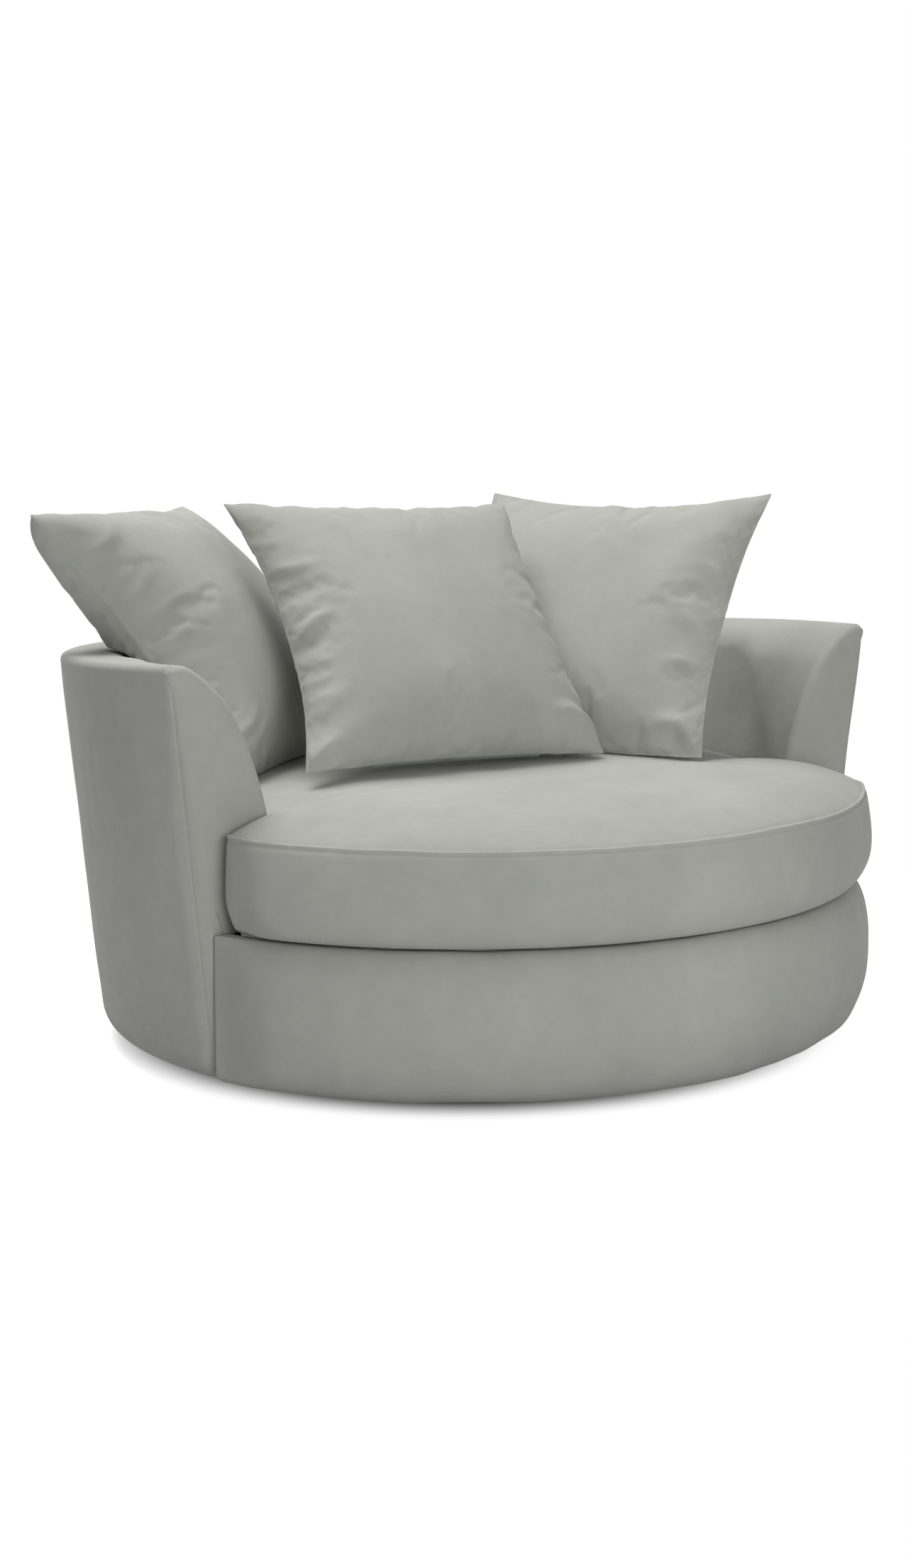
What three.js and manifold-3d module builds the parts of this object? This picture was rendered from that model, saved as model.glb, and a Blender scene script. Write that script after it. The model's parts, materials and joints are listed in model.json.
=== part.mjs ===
// Round swivel cuddle chair: a flared C-shaped wall, a T-shaped round-front seat cushion and three loose
// pillows on a recessed swivel base. Millimetres, +Z up, the front faces -Y, and the origin is the swivel
// axis at floor level.
import * as THREE from "three";
import { mergeVertices } from "three/addons/utils/BufferGeometryUtils.js";
import Module from "manifold-3d";

const wasm = await Module();
wasm.setup();

// Fits
const FIT = 0.3;
const TURN_GAP = 0.3;
const BOLT_CLEARANCE = 0.6;
const CUT_OVERRUN = 20;

// Swivel base
const GLIDE_RADIUS = 22;
const GLIDE_HEIGHT = 6;
const GLIDE_CHAMFER = 1.5;
const GLIDE_COUNT = 6;
const GLIDE_EDGE_MARGIN = 14;
const PLINTH_RADIUS = 340;
const PLINTH_THICKNESS = 15;
const PLATE_RADIUS = 150;
const PLATE_THICKNESS = 3;
const BALL_RADIUS = 4.2;
const BALL_COUNT = 10;
const BALL_CIRCLE_RADIUS = 118;
const CAGE_WIDTH = 16;
const CAGE_THICKNESS = 2.4;
const BOLT_RADIUS = 8;
const BOLT_HEAD_RADIUS = 15;
const BOLT_HEAD_HEIGHT = 8;
const WASHER_RADIUS = 20;
const WASHER_THICKNESS = 2;
const NUT_RADIUS = 14;
const NUT_HEIGHT = 10;
const BOLT_TAIL = 4;

// Wall, which makes the back and both arms
const WALL_CENTRE_Y = -52;
const WALL_TOP_RADIUS = 669;
const WALL_FLARE = 58;
const WALL_THICKNESS = 120;
const WALL_TOP = 632;
const WALL_RAKE_SHARE = 0.045;
const ARM_END_Y = -240;
const FOOT_ROUND = 42;
const FOOT_ROUND_WIDTH = 30;
const HEM_WIDTH = 30;
const HEM_GAP = 3;
const EDGE_ROUND = 12;
const RIM_ROUND_WIDTH = 50;
const RIM_ROUND_DROP = 46;
const ARM_ROUND_DROP = 243;
const ARM_BLEND_LENGTH = 260;
const COVER_THICKNESS = 5;
const LINER_THICKNESS = 3;
const FRAME_DEPTH = 40;

// Timber frame
const BOARD_THICKNESS = 20;
const BOARD_EDGE_GAP = 2;
const RAIL_TOP = 235;
const FRONT_RAIL_THICKNESS = 25;
const FRONT_END_GAP = 10;
const SEAT_RAIL_DEPTH = 30;
const SEAT_RAIL_HEIGHT = 45;
const TOP_RAIL_THICKNESS = 18;
const TOP_RAIL_DROP = 54;
const POST_THICKNESS = 18;
const POST_COUNT = 5;
const POST_CLEARANCE = 1;
const ARM_FRAME_THICKNESS = 18;

// Springs and deck
const SPRING_WIRE_RADIUS = 2;
const SPRING_COUNT = 7;
const SPRING_SPACING = 108;
const SPRING_WAVE_WIDTH = 42;
const SPRING_WAVE_LENGTH = 120;
const SPRING_END_MARGIN = 12;
const DECK_CLOTH_THICKNESS = 1.5;
const DECK_PAD_THICKNESS = 12;
const DECK_EDGE_GAP = 1.5;
const DUST_COVER_THICKNESS = 1.2;

// Front rail cover
const FRONT_COVER_INSET = 7;
const FRONT_COVER_TUCK = 41;
const FRONT_PAD_DEPTH = 16;
const FRONT_COVER_TOP_GAP = 3.7;
const FRONT_COVER_ROUND = 20;

// Seat cushion
const CUSHION_SETBACK = 12;
const CUSHION_BULGE = 12;
const CUSHION_SEAM_HEIGHT = 396;
const CUSHION_CROWN = 50;
const CUSHION_EDGE_ROUND = 14;
const CUSHION_SIDE_GAP = 4;
const CUSHION_EAR_GAP = 12;
const CUSHION_CORNER = 34;
const CUSHION_FABRIC = 6;
const CUSHION_CENTRE_Y = -300;
const CUSHION_ZIP_LENGTH = 620;
const ZIP_THICKNESS = 3;

// Pillows
const PILLOW_ROOM = 2.2;
const PILLOW_SEAM = 9;
const PILLOW_FABRIC = 4;
const PILLOW_REST_GAP = 0.4;
const PILLOW_DRAW_SHARE = 0.09;
const PILLOW_ZIP_SHARE = 0.62;
const PILLOW_FRONT_SHARE = 0.172;
const PILLOW_BACK_SHARE = 0.076;
const PILLOW_SIDE_BACK_SHARE = 0.095;

// Levels that the sizes above give
const PLINTH_TOP = GLIDE_HEIGHT + PLINTH_THICKNESS;
const LOWER_PLATE_TOP = PLINTH_TOP + PLATE_THICKNESS;
const BALL_HEIGHT = LOWER_PLATE_TOP + TURN_GAP + BALL_RADIUS;
const UPPER_PLATE_BOTTOM = BALL_HEIGHT + BALL_RADIUS + TURN_GAP;
const BOARD_BOTTOM = UPPER_PLATE_BOTTOM + PLATE_THICKNESS;
const BOARD_TOP = BOARD_BOTTOM + BOARD_THICKNESS;
const BODY_BOTTOM = BOARD_BOTTOM - FIT - COVER_THICKNESS;
const CLOTH_BOTTOM = RAIL_TOP + 2 * FIT + 2 * SPRING_WIRE_RADIUS;
const DECK_BOTTOM = CLOTH_BOTTOM + DECK_CLOTH_THICKNESS + FIT;
const DECK_TOP = DECK_BOTTOM + DECK_PAD_THICKNESS;
const CUSHION_BOTTOM = DECK_TOP + FIT;
const FRONT_COVER_TOP = CUSHION_BOTTOM - FRONT_COVER_TOP_GAP;
const TOP_RAIL_TOP = WALL_TOP - TOP_RAIL_DROP;
const TOP_RAIL_BOTTOM = TOP_RAIL_TOP - TOP_RAIL_THICKNESS;
const WALL_FOOT_RADIUS = WALL_TOP_RADIUS - WALL_FLARE;
const WALL_FLARE_SHARE = WALL_FLARE / (WALL_TOP - BODY_BOTTOM);
const LINER_INSET = COVER_THICKNESS + FIT;
const FRAME_INSET = LINER_INSET + LINER_THICKNESS + FIT;
const PAD_INSET = FRAME_INSET + FRAME_DEPTH + FIT;
const FRONT_COVER_RADIUS = WALL_TOP_RADIUS - FRONT_COVER_INSET;
const FRONT_COVER_FOOT_RADIUS = FRONT_COVER_RADIUS - FRONT_COVER_TUCK;
const FRONT_RAIL_OUTER_RADIUS = FRONT_COVER_FOOT_RADIUS - FRONT_PAD_DEPTH;
const FRONT_RAIL_INNER_RADIUS = FRONT_RAIL_OUTER_RADIUS - FRONT_RAIL_THICKNESS;
const CUSHION_SEAM_RADIUS = FRONT_COVER_RADIUS - CUSHION_SETBACK;
const BOARD_FRONT_RADIUS = FRONT_RAIL_OUTER_RADIUS - BOARD_EDGE_GAP;
const PAD_END_Y = ARM_END_Y + FIT + ARM_FRAME_THICKNESS + FIT;

// Looks
const VELVET = { color: 0xa4a79f, roughness: 0.95, metalness: 0 };
const FOAM = { color: 0xe6e0c8, roughness: 1, metalness: 0 };
const FIBRE = { color: 0xf1f0ea, roughness: 1, metalness: 0 };
const BLACK_CLOTH = { color: 0x26272a, roughness: 1, metalness: 0 };
const TIMBER = { color: 0xc7a877, roughness: 0.75, metalness: 0 };
const BOARD = { color: 0x9a8566, roughness: 0.85, metalness: 0 };
const STEEL = { color: 0xa9adb2, roughness: 0.35, metalness: 1 };
const SPRING_STEEL = { color: 0x6d7176, roughness: 0.4, metalness: 1 };
const PLASTIC = { color: 0x303235, roughness: 0.6, metalness: 0 };
const ZIP = { color: 0x8f938b, roughness: 0.7, metalness: 0 };

const chair = new THREE.Group();

function add(name, geometry, look, parent = chair) {
  const mesh = new THREE.Mesh(geometry, new THREE.MeshStandardMaterial(look));
  mesh.name = name;
  parent.add(mesh);
  return mesh;
}

// Facets round a turned piece: small round parts, holes, plates and the plinth
const NUT_SIDES = 6;
const GLIDE_SIDES = 14;
const HOLE_SIDES = 16;
const WASHER_SIDES = 20;
const CAGE_SIDES = 28;
const PLATE_SIDES = 40;
const PLINTH_SIDES = 48;
const BALL_SIDES = 6;
const BALL_RINGS = 4;

// Mesh and solid helpers

function signedVolume(points, faces) {
  return faces.reduce((sum, [a, b, c]) => {
    const across = new THREE.Vector3().crossVectors(points[b], points[c]);
    return sum + points[a].dot(across);
  }, 0);
}

// A closed triangle mesh, turned so that its faces point outwards
function closedMesh(points, faces) {
  const inward = signedVolume(points, faces) < 0;
  const order = inward ? faces.map(([a, b, c]) => [a, c, b]) : faces;
  const geometry = new THREE.BufferGeometry().setFromPoints(points);
  geometry.setIndex(order.flat());
  geometry.computeVertexNormals();
  return geometry;
}

function solidOf(geometry) {
  const bare = geometry.clone();
  bare.deleteAttribute("normal");
  bare.deleteAttribute("uv");
  const merged = mergeVertices(bare);
  const vertProperties = new Float32Array(merged.attributes.position.array);
  const triVerts = new Uint32Array(merged.index.array);
  return new wasm.Manifold(new wasm.Mesh({ numProp: 3, vertProperties, triVerts }));
}

function geometryOf(solid) {
  const mesh = solid.getMesh();
  const geometry = new THREE.BufferGeometry();
  geometry.setAttribute("position", new THREE.BufferAttribute(new Float32Array(mesh.vertProperties), 3));
  geometry.setIndex(new THREE.BufferAttribute(new Uint32Array(mesh.triVerts), 1));
  geometry.computeVertexNormals();
  return geometry;
}

function cut(base, ...tools) {
  return geometryOf(tools.reduce((solid, tool) => solid.subtract(solidOf(tool)), solidOf(base)));
}

function join(...pieces) {
  const [first, ...rest] = pieces.map(solidOf);
  return geometryOf(rest.reduce((solid, piece) => solid.add(piece), first));
}

// A lathe about the Z axis: profile points are [radius, height]
function turned(profile, segments) {
  const points = profile.map(([radius, height]) => new THREE.Vector2(radius, height));
  return new THREE.LatheGeometry(points, segments).rotateX(Math.PI / 2);
}

function disc(radius, bottom, top, segments) {
  return turned([[0, bottom], [radius, bottom], [radius, top], [0, top]], segments);
}

// A flat outline in X and Y, raised from bottom to top
function slab(outline, bottom, top) {
  const shape = new THREE.Shape(outline);
  const geometry = new THREE.ExtrudeGeometry(shape, { depth: top - bottom, bevelEnabled: false });
  return geometry.translate(0, 0, bottom);
}

// A solid swept through stations: each holds an outer and an inner line with as many points. The outer and
// inner faces split along the same diagonals, so that layers with the same stations nest.
function sweep(stations) {
  const count = 2 * stations[0].outer.length;
  const points = stations.flatMap(({ outer, inner }) => [...outer, ...[...inner].reverse()]);
  const faces = [];
  const quad = (a, b, c, d) => faces.push([a, b, c], [a, c, d]);
  for (let k = 0; k + 1 < stations.length; k += 1) {
    for (let i = 0; i < count; i += 1) {
      const j = (i + 1) % count;
      const [a, b, c, d] = [k * count + i, k * count + j, (k + 1) * count + j, (k + 1) * count + i];
      if (i < count / 2) quad(a, b, c, d);
      else quad(b, c, d, a);
    }
  }
  const last = (stations.length - 1) * count;
  for (let i = 0; i + 1 < count / 2; i += 1) {
    quad(i, count - 1 - i, count - 2 - i, i + 1);
    quad(last + i, last + i + 1, last + count - 2 - i, last + count - 1 - i);
  }
  return closedMesh(points, faces);
}

// A solid through closed rings with as many points, closed by a fan at each end
function ringStack(rings, lowCentre, highCentre) {
  const count = rings[0].length;
  const points = [...rings.flat(), lowCentre, highCentre];
  const faces = [];
  for (let k = 0; k + 1 < rings.length; k += 1) {
    for (let i = 0; i < count; i += 1) {
      const j = (i + 1) % count;
      const [a, b, c, d] = [k * count + i, k * count + j, (k + 1) * count + j, (k + 1) * count + i];
      faces.push([a, b, c], [a, c, d]);
    }
  }
  const last = (rings.length - 1) * count;
  for (let i = 0; i < count; i += 1) {
    const j = (i + 1) % count;
    faces.push([j, i, points.length - 2], [last + i, last + j, points.length - 1]);
  }
  return closedMesh(points, faces);
}

const mix = THREE.MathUtils.lerp;
const limit = THREE.MathUtils.clamp;
const steps = (count) => Array.from({ length: count + 1 }, (_, i) => i / count);

// Wall geometry: inset is the way in from the outer face, share runs 0 to 1 from right arm to left arm

const wallRadius = (height) => WALL_FOOT_RADIUS + (height - BODY_BOTTOM) * WALL_FLARE_SHARE;

function raked(height, y) {
  const raise = limit((height - RAIL_TOP) / (WALL_TOP - RAIL_TOP), 0, 1);
  return height - raise * WALL_RAKE_SHARE * y;
}

function wallPoint(inset, height, share) {
  const radius = wallRadius(height) - inset;
  const endAngle = Math.acos((WALL_CENTRE_Y - ARM_END_Y) / radius);
  const angle = endAngle + 2 * (Math.PI - endAngle) * share;
  const y = WALL_CENTRE_Y - radius * Math.cos(angle);
  return new THREE.Vector3(radius * Math.sin(angle), y, raked(height, y));
}

// How much of the arm's big front curve a station has: 1 at an arm's end, 0 along the back
function armShare(share) {
  const endAngle = Math.acos((WALL_CENTRE_Y - ARM_END_Y) / WALL_TOP_RADIUS);
  const fromEnd = Math.min(share, 1 - share) * 2 * (Math.PI - endAngle) * WALL_TOP_RADIUS;
  return 1 - THREE.MathUtils.smoothstep(fromEnd, 0, ARM_BLEND_LENGTH);
}

const CURVE_STEPS = 6;
const FOOT_STEPS = 3;
const RIM_EDGE_STEPS = 2;
const ROUND_POWER = 2;
const ARM_ROUND_POWER = 1.65;

// The rim and inner face as [inset, height], from the rim's outer edge down to the deck
function innerLine(depth, share, foot) {
  const arm = armShare(share);
  const power = mix(ROUND_POWER, ARM_ROUND_POWER, arm);
  const width = mix(RIM_ROUND_WIDTH, WALL_THICKNESS - 2 * EDGE_ROUND, arm);
  const drop = mix(RIM_ROUND_DROP, ARM_ROUND_DROP, arm);
  const flat = WALL_THICKNESS - width;
  const curve = steps(CURVE_STEPS).map((step) => {
    const turn = step * Math.PI / 2;
    const across = Math.sin(turn) ** (2 / power) * (width - depth);
    const up = Math.cos(turn) ** (2 / power) * (drop - depth);
    return [flat + across, WALL_TOP - drop + up];
  });
  const start = [EDGE_ROUND + FIT, WALL_TOP - depth];
  const end = [WALL_THICKNESS - depth, foot];
  return [start, ...curve, end];
}

const WALL_STATIONS = 30;
const END_CROWDING_SHARE = 0.55;

// Stations lie closer together near the arms' ends
function wallShares() {
  const crowd = END_CROWDING_SHARE / (2 * Math.PI);
  return steps(WALL_STATIONS).map((step) => step - crowd * Math.sin(2 * Math.PI * step));
}

const placeLine = (line, share) => line.map(([inset, height]) => wallPoint(inset, height, share));

// The points where the straight stretches from one line of points to the next reach the plane y
function linesAt(y, from, to) {
  return from.map((point, i) => point.clone().lerp(to[i], (y - point.y) / (to[i].y - point.y)));
}

// A line of points at each station; the layers that stop at the arm frames keep the covers' facets
function wallLines(lineAt, toArmEnds) {
  const lines = wallShares().map((share) => placeLine(lineAt(share), share));
  const [first, last] = [lines[0], lines.at(-1)];
  const start = linesAt(PAD_END_Y, first, lines[1]);
  const end = linesAt(PAD_END_Y, last, lines.at(-2));
  const middle = [start, ...lines.slice(1, -1), end];
  return toArmEnds ? [first, ...middle, last] : middle;
}

function wallSweep(outerLine, innerLineAt, toArmEnds = false) {
  const inner = wallLines(innerLineAt, toArmEnds);
  return sweep(wallLines(outerLine, toArmEnds).map((outer, i) => ({ outer, inner: inner[i] })));
}

// Outside cover: hem, foot curve, outer face and the rim's outer edge
function outsideLine(depth) {
  const round = FOOT_ROUND - depth;
  const foot = steps(FOOT_STEPS).map((step) => {
    const turn = step * Math.PI / 2;
    const inset = FOOT_ROUND_WIDTH - (FOOT_ROUND_WIDTH - depth) * Math.sin(turn);
    return [inset, BODY_BOTTOM + FOOT_ROUND - round * Math.cos(turn)];
  });
  const edge = EDGE_ROUND - depth;
  const rim = steps(RIM_EDGE_STEPS).map((step) => {
    const turn = step * Math.PI / 2;
    return [EDGE_ROUND - edge * Math.cos(turn), WALL_TOP - EDGE_ROUND + edge * Math.sin(turn)];
  });
  const hem = [FOOT_ROUND_WIDTH + HEM_WIDTH, BODY_BOTTOM + depth];
  return [hem, ...foot, [depth, RAIL_TOP], ...rim];
}

const outsideCover = wallSweep(() => outsideLine(0), () => outsideLine(COVER_THICKNESS), true);
add("outside_cover", outsideCover, VELVET);

const insideCover = wallSweep(
  (share) => innerLine(0, share, DECK_TOP),
  (share) => innerLine(COVER_THICKNESS, share, DECK_TOP),
  true,
);
add("inside_cover", insideCover, VELVET);

// Inside padding: its back follows the top rail and the posts
function paddingBack() {
  const count = CURVE_STEPS + 3;
  const corner = Math.round(count / 3);
  const top = TOP_RAIL_TOP + FIT;
  return steps(count - 1).map((_, i) => {
    if (i <= corner) return [mix(EDGE_ROUND + FIT, PAD_INSET, i / corner), top];
    return [PAD_INSET, mix(top, DECK_TOP, (i - corner) / (count - 1 - corner))];
  });
}
const insidePadding = wallSweep(
  (share) => innerLine(COVER_THICKNESS + FIT, share, DECK_TOP),
  paddingBack,
);
add("inside_padding", insidePadding, FOAM);

const bar = (inset, depth, heights) => [
  () => heights.map((height) => [inset, height]),
  () => heights.map((height) => [inset + depth, height]),
];
const linerHeights = [BODY_BOTTOM + FOOT_ROUND, RAIL_TOP, TOP_RAIL_TOP];
add("outside_liner", wallSweep(...bar(LINER_INSET, LINER_THICKNESS, linerHeights)), BOARD);
const topRailHeights = [TOP_RAIL_BOTTOM, TOP_RAIL_TOP];
add("top_rail", wallSweep(...bar(FRAME_INSET, FRAME_DEPTH, topRailHeights)), TIMBER);
const seatRailHeights = [RAIL_TOP - SEAT_RAIL_HEIGHT, RAIL_TOP];
add("seat_rail", wallSweep(...bar(PAD_INSET, SEAT_RAIL_DEPTH, seatRailHeights)), TIMBER);

// Back posts stand on the bottom board at the wall's stations, behind the liner, and carry the top rail
function backPost(share) {
  const middle = wallPoint(FRAME_INSET, BOARD_TOP, share);
  const out = new THREE.Vector2(middle.x, middle.y - WALL_CENTRE_Y).normalize();
  const at = (inset, height, side) => {
    const reach = wallRadius(height) - inset;
    const x = out.x * reach - out.y * side * POST_THICKNESS / 2;
    const y = WALL_CENTRE_Y + out.y * reach + out.x * side * POST_THICKNESS / 2;
    return new THREE.Vector3(x, y, raked(height, y));
  };
  const heights = [BOARD_TOP + FIT, RAIL_TOP, TOP_RAIL_BOTTOM - FIT];
  const line = (inset, side) => heights.map((height) => at(inset, height, side));
  const station = (side) => ({
    outer: line(FRAME_INSET + POST_CLEARANCE, side),
    inner: line(FRAME_INSET + FRAME_DEPTH, side),
  });
  return sweep([station(-1), station(1)]);
}
for (let i = 1; i <= POST_COUNT; i += 1) {
  const station = Math.round(i * WALL_STATIONS / (POST_COUNT + 1));
  add(`back_post_${i}`, backPost(wallShares()[station]), TIMBER);
}

// Arm ends: side is 1 for the right arm and -1 for the left arm. Their outlines are flat, [x, z].

// The wall's rim and inner face, at a depth, in the stretch from nearY to farY
function armInnerOutline(depth, foot, nearY, farY) {
  const [first, second] = wallShares().map((share) => placeLine(innerLine(depth, share, foot), share));
  const far = linesAt(farY, first, second);
  return linesAt(nearY, first, second).map((near, i) => (
    new THREE.Vector2(Math.max(near.x, far[i].x), Math.min(near.z, far[i].z))));
}

const armOuterOutline = (line) => placeLine(line, 0).map(({ x, z }) => new THREE.Vector2(x, z));

function armPlate(side, outline, nearY, thickness) {
  const shape = new THREE.Shape(outline.map(({ x, y }) => new THREE.Vector2(side * x, y)));
  const geometry = new THREE.ExtrudeGeometry(shape, { depth: thickness, bevelEnabled: false });
  return geometry.rotateX(Math.PI / 2).translate(0, nearY + thickness, 0);
}

// Below the deck only a narrow leg of the cover is left, outside the bottom board
function armEndCover(side) {
  const legX = Math.sqrt(BOARD_FRONT_RADIUS ** 2 - ARM_END_Y ** 2) + BOARD_EDGE_GAP;
  const outer = armOuterOutline(outsideLine(0)).filter(({ x }) => x > legX + BOARD_EDGE_GAP);
  const leg = [new THREE.Vector2(legX, DECK_TOP), new THREE.Vector2(legX, outer[0].y)];
  const inner = armInnerOutline(0, DECK_TOP, ARM_END_Y, ARM_END_Y);
  return armPlate(side, [...inner, ...leg, ...outer], ARM_END_Y - FIT - COVER_THICKNESS, COVER_THICKNESS);
}

function armFrame(side) {
  const foot = BOARD_TOP + FIT;
  const heights = [BODY_BOTTOM + FOOT_ROUND, RAIL_TOP, WALL_TOP - EDGE_ROUND - COVER_THICKNESS];
  const footInset = FRAME_INSET + FOOT_ROUND / 4;
  const outer = armOuterOutline([[footInset, foot], ...heights.map((height) => [FRAME_INSET, height])]);
  const inner = armInnerOutline(COVER_THICKNESS + 2 * FIT, foot, ARM_END_Y + FIT, PAD_END_Y);
  return armPlate(side, [...inner.slice(1), ...outer], ARM_END_Y + FIT, ARM_FRAME_THICKNESS);
}

for (const [name, side] of [["right", 1], ["left", -1]]) {
  add(`arm_end_cover_${name}`, armEndCover(side), VELVET);
  add(`arm_frame_${name}`, armFrame(side), TIMBER);
}

// Front rail, its padding and its cover: arcs about the swivel axis that stop in front of the arm ends

const FRONT_STATIONS = 20;
const FRONT_END_Y = ARM_END_Y - COVER_THICKNESS - 2 * FIT;
const FRONT_END_ANGLE = Math.acos((FRONT_END_GAP - FRONT_END_Y) / FRONT_RAIL_OUTER_RADIUS);

function frontSweep(outerLine, innerLineAt) {
  const place = (line, share) => line.map(([radius, height]) => {
    const angle = share * Math.min(FRONT_END_ANGLE, Math.acos(-FRONT_END_Y / radius));
    return new THREE.Vector3(radius * Math.sin(angle), -radius * Math.cos(angle), height);
  });
  return sweep(steps(FRONT_STATIONS).map((step) => (
    { outer: place(outerLine, 2 * step - 1), inner: place(innerLineAt, 2 * step - 1) })));
}

// The bulged front as [radius, height], from the hem round to the back of its top
function frontLine(depth) {
  const low = BODY_BOTTOM + depth;
  const high = FRONT_COVER_TOP - depth;
  const bulge = FRONT_COVER_RADIUS - FRONT_COVER_FOOT_RADIUS;
  const heightShares = [0.05, 0.22, 0.5, 0.78];
  const bulgeShares = [0.35, 0.78, 1, 0.97];
  const face = heightShares.map((share, i) => (
    [FRONT_COVER_FOOT_RADIUS + bulge * bulgeShares[i] - depth, mix(low, high, share)]));
  const hem = [FRONT_RAIL_INNER_RADIUS - HEM_WIDTH, low];
  const foot = [FRONT_COVER_FOOT_RADIUS - depth, low];
  const shoulder = [FRONT_COVER_RADIUS - FRONT_COVER_ROUND / 2 - depth, high - FRONT_COVER_ROUND / 4];
  const top = [FRONT_COVER_RADIUS - FRONT_COVER_ROUND - depth, high];
  const back = [FRONT_RAIL_OUTER_RADIUS, high];
  return [hem, foot, ...face, shoulder, top, back];
}

add("front_rail_cover", frontSweep(frontLine(0), frontLine(COVER_THICKNESS)), VELVET);

const frontPadLine = frontLine(COVER_THICKNESS + FIT).slice(1);
const frontPadBack = frontPadLine.map(([, height]) => (
  [FRONT_RAIL_OUTER_RADIUS + FIT, limit(height, BODY_BOTTOM + COVER_THICKNESS + FIT, FRONT_COVER_TOP)]));
add("front_rail_padding", frontSweep(frontPadLine.slice(0, -1), frontPadBack.slice(0, -1)), FOAM);

const railLine = (radius) => [[radius, BOARD_TOP + FIT], [radius, RAIL_TOP]];
add("front_rail", frontSweep(railLine(FRONT_RAIL_OUTER_RADIUS), railLine(FRONT_RAIL_INNER_RADIUS)), TIMBER);

// Plan outlines: a round front about the swivel axis, ears in front of the arms, a round back

function softCorner(before, corner, after, size, count) {
  const from = corner.clone().lerp(before, Math.min(1, size / corner.distanceTo(before)));
  const to = corner.clone().lerp(after, Math.min(1, size / corner.distanceTo(after)));
  return new THREE.QuadraticBezierCurve(from, corner, to).getPoints(count);
}

const FRONT_ARC_STEPS = 10;
const BACK_ARC_STEPS = 13;
const CORNER_STEPS = 2;

function earedOutline(frontRadius, backRadius, earY, corner) {
  const earAngle = Math.acos(-earY / frontRadius);
  const neckAngle = Math.acos((WALL_CENTRE_Y - earY) / backRadius);
  const pointAt = (radius, centreY) => (angle) => (
    new THREE.Vector2(radius * Math.sin(angle), centreY - radius * Math.cos(angle)));
  const frontPoint = pointAt(frontRadius, 0);
  const backPoint = pointAt(backRadius, WALL_CENTRE_Y);
  const lastFront = earAngle - corner / frontRadius;
  const front = steps(FRONT_ARC_STEPS).slice(0, -1).map((step) => frontPoint(step * lastFront));
  const back = steps(BACK_ARC_STEPS).slice(1).map((step) => backPoint(mix(neckAngle, Math.PI, step)));
  const ear = frontPoint(earAngle);
  const neck = backPoint(neckAngle);
  const half = [
    ...front,
    ...softCorner(frontPoint(lastFront), ear, neck, corner, CORNER_STEPS),
    neck,
    ...back,
  ];
  const mirrored = half.slice(1, -1).reverse().map((point) => new THREE.Vector2(-point.x, point.y));
  return [...half, ...mirrored];
}

const boardBack = WALL_FOOT_RADIUS - FOOT_ROUND_WIDTH - BOARD_EDGE_GAP;
const boardOutline = earedOutline(BOARD_FRONT_RADIUS, boardBack, ARM_END_Y, CUSHION_CORNER);
const boltHole = disc(BOLT_RADIUS + BOLT_CLEARANCE, -CUT_OVERRUN, BOARD_TOP + CUT_OVERRUN, HOLE_SIDES);
add("bottom_board", cut(slab(boardOutline, BOARD_BOTTOM, BOARD_TOP), boltHole), BOARD);

const dustTop = BOARD_BOTTOM - FIT;
const dustRadius = FRONT_RAIL_INNER_RADIUS - HEM_WIDTH - HEM_GAP;
const wallHem = WALL_FOOT_RADIUS - FOOT_ROUND_WIDTH - HEM_WIDTH - HEM_GAP;
const dustOutline = earedOutline(dustRadius, wallHem, ARM_END_Y, HEM_GAP);
const dustHole = disc(PLATE_RADIUS + HEM_GAP, 0, BOARD_TOP, PLATE_SIDES);
add("dust_cover", cut(slab(dustOutline, dustTop - DUST_COVER_THICKNESS, dustTop), dustHole), BLACK_CLOTH);

const deckWall = wallRadius(DECK_BOTTOM) - WALL_THICKNESS - DECK_EDGE_GAP;
const deckFront = FRONT_RAIL_OUTER_RADIUS - DECK_EDGE_GAP;
const deckOutline = earedOutline(deckFront, deckWall, FRONT_END_Y, CUSHION_CORNER);
add("deck_cloth", slab(deckOutline, CLOTH_BOTTOM, CLOTH_BOTTOM + DECK_CLOTH_THICKNESS), BLACK_CLOTH);
add("deck_pad", slab(deckOutline, DECK_BOTTOM, DECK_BOTTOM + DECK_PAD_THICKNESS), FIBRE);

// Sinuous springs lie across the frame, from the front rail to the seat rail

class SpringPath extends THREE.Curve {
  constructor(x, front, back, height) {
    super();
    Object.assign(this, { x, front, back, height });
    this.waves = Math.max(2, Math.round((back - front) / SPRING_WAVE_LENGTH));
  }

  getPoint(t, target = new THREE.Vector3()) {
    const swing = Math.sin(t * this.waves * 2 * Math.PI) * SPRING_WAVE_WIDTH / 2;
    return target.set(this.x + swing, mix(this.front, this.back, t), this.height);
  }
}

const SPRING_STEPS_PER_WAVE = 4;
const SPRING_SIDES = 4;

function spring(x) {
  const railRadius = wallRadius(RAIL_TOP) - PAD_INSET - SEAT_RAIL_DEPTH + SPRING_END_MARGIN;
  const front = -Math.sqrt((FRONT_RAIL_INNER_RADIUS + SPRING_END_MARGIN) ** 2 - x ** 2);
  const back = WALL_CENTRE_Y + Math.sqrt(railRadius ** 2 - x ** 2);
  const path = new SpringPath(x, front, back, RAIL_TOP + FIT + SPRING_WIRE_RADIUS);
  const section = new THREE.Shape(steps(SPRING_SIDES - 1).map((_, i) => {
    const turn = i * 2 * Math.PI / SPRING_SIDES;
    return new THREE.Vector2(Math.cos(turn), Math.sin(turn)).multiplyScalar(SPRING_WIRE_RADIUS);
  }));
  const options = { steps: path.waves * SPRING_STEPS_PER_WAVE, extrudePath: path, bevelEnabled: false };
  return new THREE.ExtrudeGeometry(section, options);
}

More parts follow.
